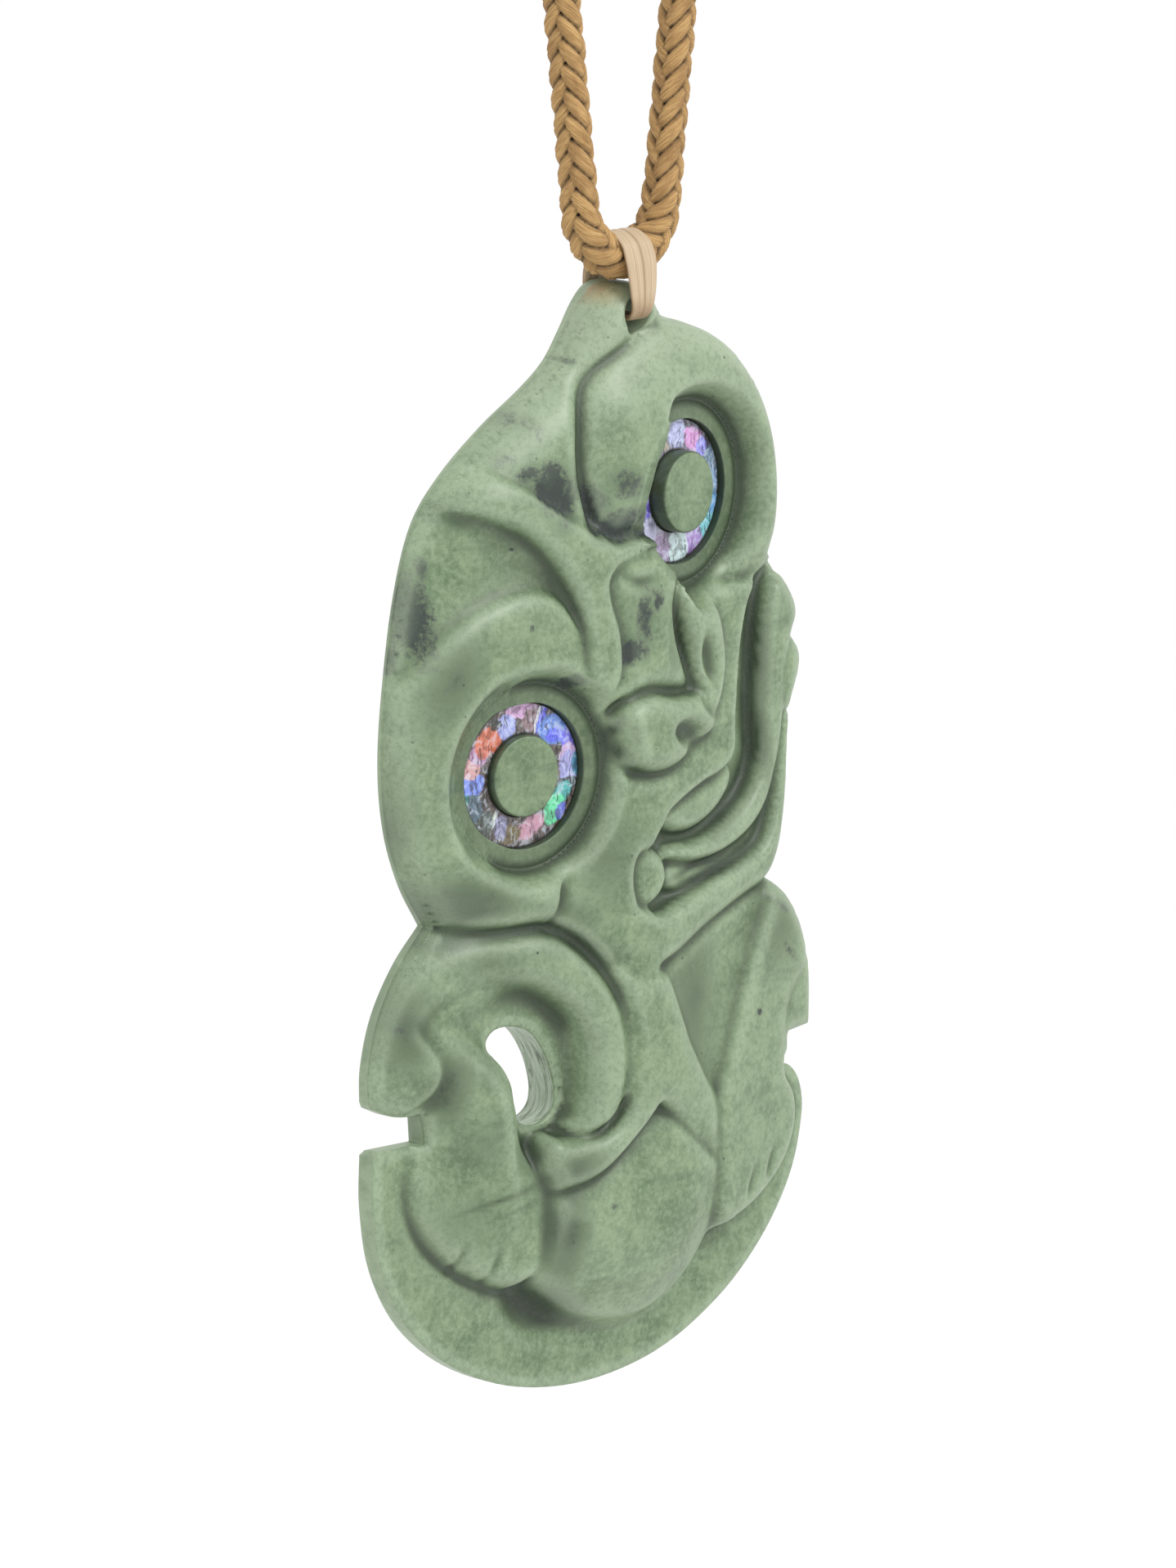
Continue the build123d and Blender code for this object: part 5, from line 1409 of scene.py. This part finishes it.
class PendantStoneLook(bpy.types.PropertyGroup):
    """Greenstone colours and the fineness of its surface."""

    spacing: bpy.props.FloatProperty(
        name="Surface step", description="Distance between the front's surface points, in millimetres",
        default=0.3, min=0.2, max=1.0)
    light: color_property("Light green", "Main sage green of the polished stone", (118, 138, 105))
    deep: color_property("Deep green", "Darker green of the broad mottling", (86, 108, 76))
    bright: color_property("Bright grain", "Palest green of the fine mottling", (140, 158, 128))
    streak: color_property("Streak", "Grey green of the slanted streaks", (66, 84, 60))
    # Painted shade in grooves and hollows, also the dark lines of the hole wall's tool marks
    hollow: color_property("Hollow", "Deep green in grooves and hollows", (27, 39, 24))
    crown: color_property("Pale crown", "Pale grey green near the nub", (146, 160, 134))
    # Colour of the patches of painted shade, and of the stone's dark veins and thin streaks
    shade: color_property("Shade", "Deeper green of the broad shades and thin streaks", (46, 64, 40))
    cloud: color_property("Dark cloud", "Blue black of the dark clouds and specks", (26, 35, 36))
    stain: color_property("Stain", "Tan stain below the cord", (166, 130, 84))
    # Pale colour of rubbed edges with their painted highlight, and of the cut sides painted paler as worn
    # stone and as painted light
    worn_and_lit_pale: color_property("Worn edge", "Pale green of rubbed edges and cut sides", (152, 168, 142))
    drilled: color_property("Hole wall", "Pale grey green of the hole's tooled wall", (176, 188, 172))
    mottling: share_property("Mottling", "Strength of the fine mottling", 0.5)
    # How dark the painted shade in the hollows is
    hollow_shade_depth: share_property("Hollow depth", "How dark the hollows are", 0.85)
    # How pale the crests are painted, for wear and for highlight together
    edge_wear_and_highlight: share_property("Edge wear", "How pale the rubbed edges are", 0.4)
    roughness: share_property("Roughness", "Roughness of the polished stone", 0.42)


class PendantShellLook(bpy.types.PropertyGroup):
    """Flashes and veins of the shell eye rings."""

    ground: color_property("Ground", "Brown ground of the shell", (104, 92, 88))
    olive: color_property("Olive", "Olive clouds in the ground", (88, 80, 52))
    flash: color_property("Flash", "Palest flecks of the shell", (206, 216, 230))
    dark: color_property("Vein", "Dark brown of the veins and rims", (32, 26, 24))
    veins: share_property("Veins", "Strength of the dark veins", 0.75)
    depth: share_property("Depth", "How bright the colour flashes are", 0.86)
    right_ground: color_property("Right ground", "Lilac grey ground of the right shell", (140, 136, 158))
    right_depth: share_property("Right depth", "How bright the right eye's colour flashes are", 1.0)
    spread: bpy.props.FloatProperty(name="Spread", description="How large the colour flashes are",
                                    default=1.36, min=0.5, max=2.0)


class PendantCordLook(bpy.types.PropertyGroup):
    """The plait's pitch and the colours of the cord and the lashing."""

    pitch: bpy.props.FloatProperty(
        name="Stitch pitch", description="Distance from one stitch of the plait to the next, in millimetres",
        default=2.5, min=1.5, max=5.0)
    strands: bpy.props.IntProperty(
        name="Lashing threads", description="Threads side by side in the lashing", default=4, min=1, max=8)
    golden: color_property("Golden", "Main colour of the plait", (156, 120, 70))
    pale: color_property("Pale fibre", "Palest fibres of the plait", (206, 170, 114))
    brown: color_property("Brown fibre", "Browner fibres of the plait", (112, 76, 38))
    # Painted shade in the gaps between stitches
    gap: color_property("Gap", "Dark gaps between the stitches", (30, 18, 8))
    thread: color_property("Thread", "Main colour of the lashing", (176, 155, 126))
    thread_pale: color_property("Pale thread", "Palest threads of the lashing", (202, 184, 156))
    # Browner thread colour, used low down towards the bore and as painted shade in the partings between
    # threads
    thread_brown: color_property("Brown thread", "Lashing where it is stained", (118, 88, 54))


class PendantStageLook(bpy.types.PropertyGroup):
    """Floor and lights."""

    floor_tone: color_property("Floor", "Pale floor and surroundings", (252, 252, 252))
    floor_drop: bpy.props.FloatProperty(
        name="Floor height", description="Height of the floor under the top of the cord's loop",
        default=-0.95, max=-0.5, unit="LENGTH")
    key: bpy.props.FloatProperty(name="Key light", description="Power of the large soft light", default=7.8,
                                 min=0.0, unit="POWER")
    fill: bpy.props.FloatProperty(name="Fill light", description="Power of the soft light opposite",
                                  default=0.8, min=0.0, unit="POWER")
    sky: bpy.props.FloatProperty(name="Surroundings", description="Brightness of the pale surroundings",
                                 default=1.05, min=0.0)


# The photograph's view: turn from the front and rise in degrees, distance in metres, and the
# lens and the frame's height in the photograph's pixels
VIEW_TURN = 46.0
VIEW_RISE = 11.5
VIEW_DISTANCE = 0.9
LENS_PIXELS = 11115.0
FRAME_PIXELS = 1917.0
SENSOR_HEIGHT = 24.0

# The stage: half the floor's width, and each light's way from the stone and width, in metres
FLOOR_HALF = 6.0
LIGHTS = {"key": ((0.2, -0.86, 0.84), 0.45), "fill": ((-0.9, -0.3, 0.1), 0.7), "top": ((0.2, 0.1, 1.0), 0.5)}

# Where the front turns paler towards the nub, and the stain below the cord: rows and columns
PALE_FROM = 30.0
PALE_OVER = 18.0
PALE_SHARE = 0.8
Stain = namedtuple("Stain", "column row half_width half_height")
STAIN = Stain(0.6, 49.6, 3.0, 2.0)


def facing(thing, way):
    """Turns a camera or a light back along the way that it stands off."""
    thing.rotation_euler = (-way).to_track_quat("-Z", "Y").to_euler()


class OBJECT_OT_pendant_camera(bpy.types.Operator):
    """Places the camera where the photograph was taken from."""

    bl_idname = "object.pendant_camera"
    bl_label = "Camera"

    def execute(self, context):
        turn, rise = math.radians(VIEW_TURN), math.radians(VIEW_RISE)
        way = Vector((-math.sin(turn) * math.cos(rise), -math.cos(turn) * math.cos(rise), math.sin(rise)))
        data = bpy.data.cameras.new("photograph_view")
        data.sensor_fit = "VERTICAL"
        data.sensor_height = SENSOR_HEIGHT
        data.lens = LENS_PIXELS * data.sensor_height / FRAME_PIXELS
        data.clip_start = 0.05
        camera = bpy.data.objects.new("photograph_view", data)
        camera.location = Vector(placed(0.0, 0.0, 0.0) * MM) + way * VIEW_DISTANCE
        facing(camera, way)
        context.scene.collection.objects.link(camera)
        context.scene.camera = camera
        return {"FINISHED"}


class OBJECT_OT_pendant_stone(bpy.types.Operator):
    """Makes the carved greenstone figure."""

    bl_idname = "object.pendant_stone"
    bl_label = "Greenstone figure"

    def execute(self, context):
        look = context.scene.pendant_stone
        piece = stone_piece(look.spacing)
        place = np.empty(len(piece.data.vertices) * 3, np.float32)
        piece.data.vertices.foreach_get("co", place)
        column, depth, row = (place.reshape(-1, 3) / MM - PLACE).T
        from_stain = np.hypot((column - STAIN.column) / STAIN.half_width,
                              (row - STAIN.row) / STAIN.half_height)
        # Dark clouds, patches of painted shade and dark veins, paler rows near the nub, and the cord's stain
        mark_points(piece.data, {
            "cloud": patch_field(column, row, CLOUDS),
            "shade": patch_field(column, row, PAINTED_SHADES_AND_VEINS),
            "pale": ease((row - PALE_FROM) / PALE_OVER) * PALE_SHARE,
            "stain": np.clip(1.0 - from_stain, 0.0, 1.0) * (depth < 1.0),
        })
        piece.data.materials.append(stone_material(look))
        return {"FINISHED"}


class OBJECT_OT_pendant_eyes(bpy.types.Operator):
    """Gives the two shell eye rings their finish."""

    bl_idname = "object.pendant_eyes"
    bl_label = "Shell eye rings"

    def execute(self, context):
        look = context.scene.pendant_shell
        sides = {"left": (LEFT_FLASHES, look.ground, look.depth),
                 "right": (RIGHT_FLASHES, look.right_ground, look.right_depth)}
        for eye in EYES:
            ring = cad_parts["eye_ring_" + eye.name]
            material = shell_material(eye, *sides[eye.name], look)
            if not ring.material_slots:
                ring.data.materials.append(material)
            for slot in ring.material_slots:
                slot.material = material
        return {"FINISHED"}


class OBJECT_OT_pendant_lashing(bpy.types.Operator):
    """Makes the thread lashing between the stone and the cord."""

    bl_idname = "object.pendant_lashing"
    bl_label = "Lashing"

    def execute(self, context):
        look = context.scene.pendant_cord
        lashing_piece(look.strands).data.materials.append(thread_material(look))
        return {"FINISHED"}


class OBJECT_OT_pendant_cord(bpy.types.Operator):
    """Makes the plaited neck cord and the binding at its join."""

    bl_idname = "object.pendant_cord"
    bl_label = "Neck cord"

    def execute(self, context):
        look = context.scene.pendant_cord
        material = fibre_material("plaited_fibre", look)
        cord_piece(look.pitch).data.materials.append(material)
        binding_piece().data.materials.append(material)
        return {"FINISHED"}


class OBJECT_OT_pendant_stage(bpy.types.Operator):
    """Makes the pale floor, the surroundings and the soft lights."""

    bl_idname = "object.pendant_stage"
    bl_label = "Stage"

    def execute(self, context):
        look = context.scene.pendant_stage
        mesh = bpy.data.meshes.new("floor")
        sides = (-1, -1), (1, -1), (1, 1), (-1, 1)
        corners = [(x * FLOOR_HALF, y * FLOOR_HALF, look.floor_drop) for x, y in sides]
        mesh.from_pydata(corners, [], [(0, 1, 2, 3)])
        floor = bpy.data.objects.new("floor", mesh)
        context.scene.collection.objects.link(floor)
        material, shader, _, _ = new_material("pale_floor")
        set_shader(shader, Base_Color=look.floor_tone, Roughness=0.9)
        mesh.materials.append(material)
        world = bpy.data.worlds.new("pale_surroundings")
        world.use_nodes = True
        background = next(node for node in world.node_tree.nodes if node.type == "BACKGROUND")
        background.inputs["Color"].default_value = (*look.floor_tone, 1.0)
        background.inputs["Strength"].default_value = look.sky
        context.scene.world = world
        context.scene.view_settings.view_transform = "Standard"
        target = Vector(placed(0.0, 0.0, 0.0) * MM)
        for name, power in (("key", look.key), ("fill", look.fill), ("top", look.fill)):
            offset, width = LIGHTS[name]
            data = bpy.data.lights.new(name, "AREA")
            data.shape = "SQUARE"
            data.size = width
            data.energy = power
            light = bpy.data.objects.new(name, data)
            light.location = target + Vector(offset)
            facing(light, Vector(offset))
            context.scene.collection.objects.link(light)
        return {"FINISHED"}


OPERATORS = [OBJECT_OT_pendant_camera, OBJECT_OT_pendant_stone, OBJECT_OT_pendant_eyes,
             OBJECT_OT_pendant_lashing, OBJECT_OT_pendant_cord, OBJECT_OT_pendant_stage]
LOOKS = {"pendant_stone": PendantStoneLook, "pendant_shell": PendantShellLook,
         "pendant_cord": PendantCordLook, "pendant_stage": PendantStageLook}


class VIEW3D_PT_pendant(bpy.types.Panel):
    """Lists the pendant's pieces and their sizes and colours."""

    bl_idname = "VIEW3D_PT_pendant"
    bl_label = "Greenstone pendant"
    bl_space_type = "VIEW_3D"
    bl_region_type = "UI"
    bl_category = "Pendant"

    def draw(self, context):
        for operator in OPERATORS:
            self.layout.operator(operator.bl_idname)
        for name, look in LOOKS.items():
            box = self.layout.box()
            for key in look.__annotations__:
                box.prop(getattr(context.scene, name), key)


def register():
    for look in LOOKS.values():
        bpy.utils.register_class(look)
    for operator in OPERATORS:
        bpy.utils.register_class(operator)
    bpy.utils.register_class(VIEW3D_PT_pendant)
    for name, look in LOOKS.items():
        setattr(bpy.types.Scene, name, bpy.props.PointerProperty(type=look))


def unregister():
    for name in LOOKS:
        delattr(bpy.types.Scene, name)
    bpy.utils.unregister_class(VIEW3D_PT_pendant)
    for operator in reversed(OPERATORS):
        bpy.utils.unregister_class(operator)
    for look in LOOKS.values():
        bpy.utils.unregister_class(look)


def main():
    register()
    for operator in OPERATORS:
        group, name = operator.bl_idname.split(".")
        getattr(getattr(bpy.ops, group), name)()


if __name__ == "__main__":
    main()
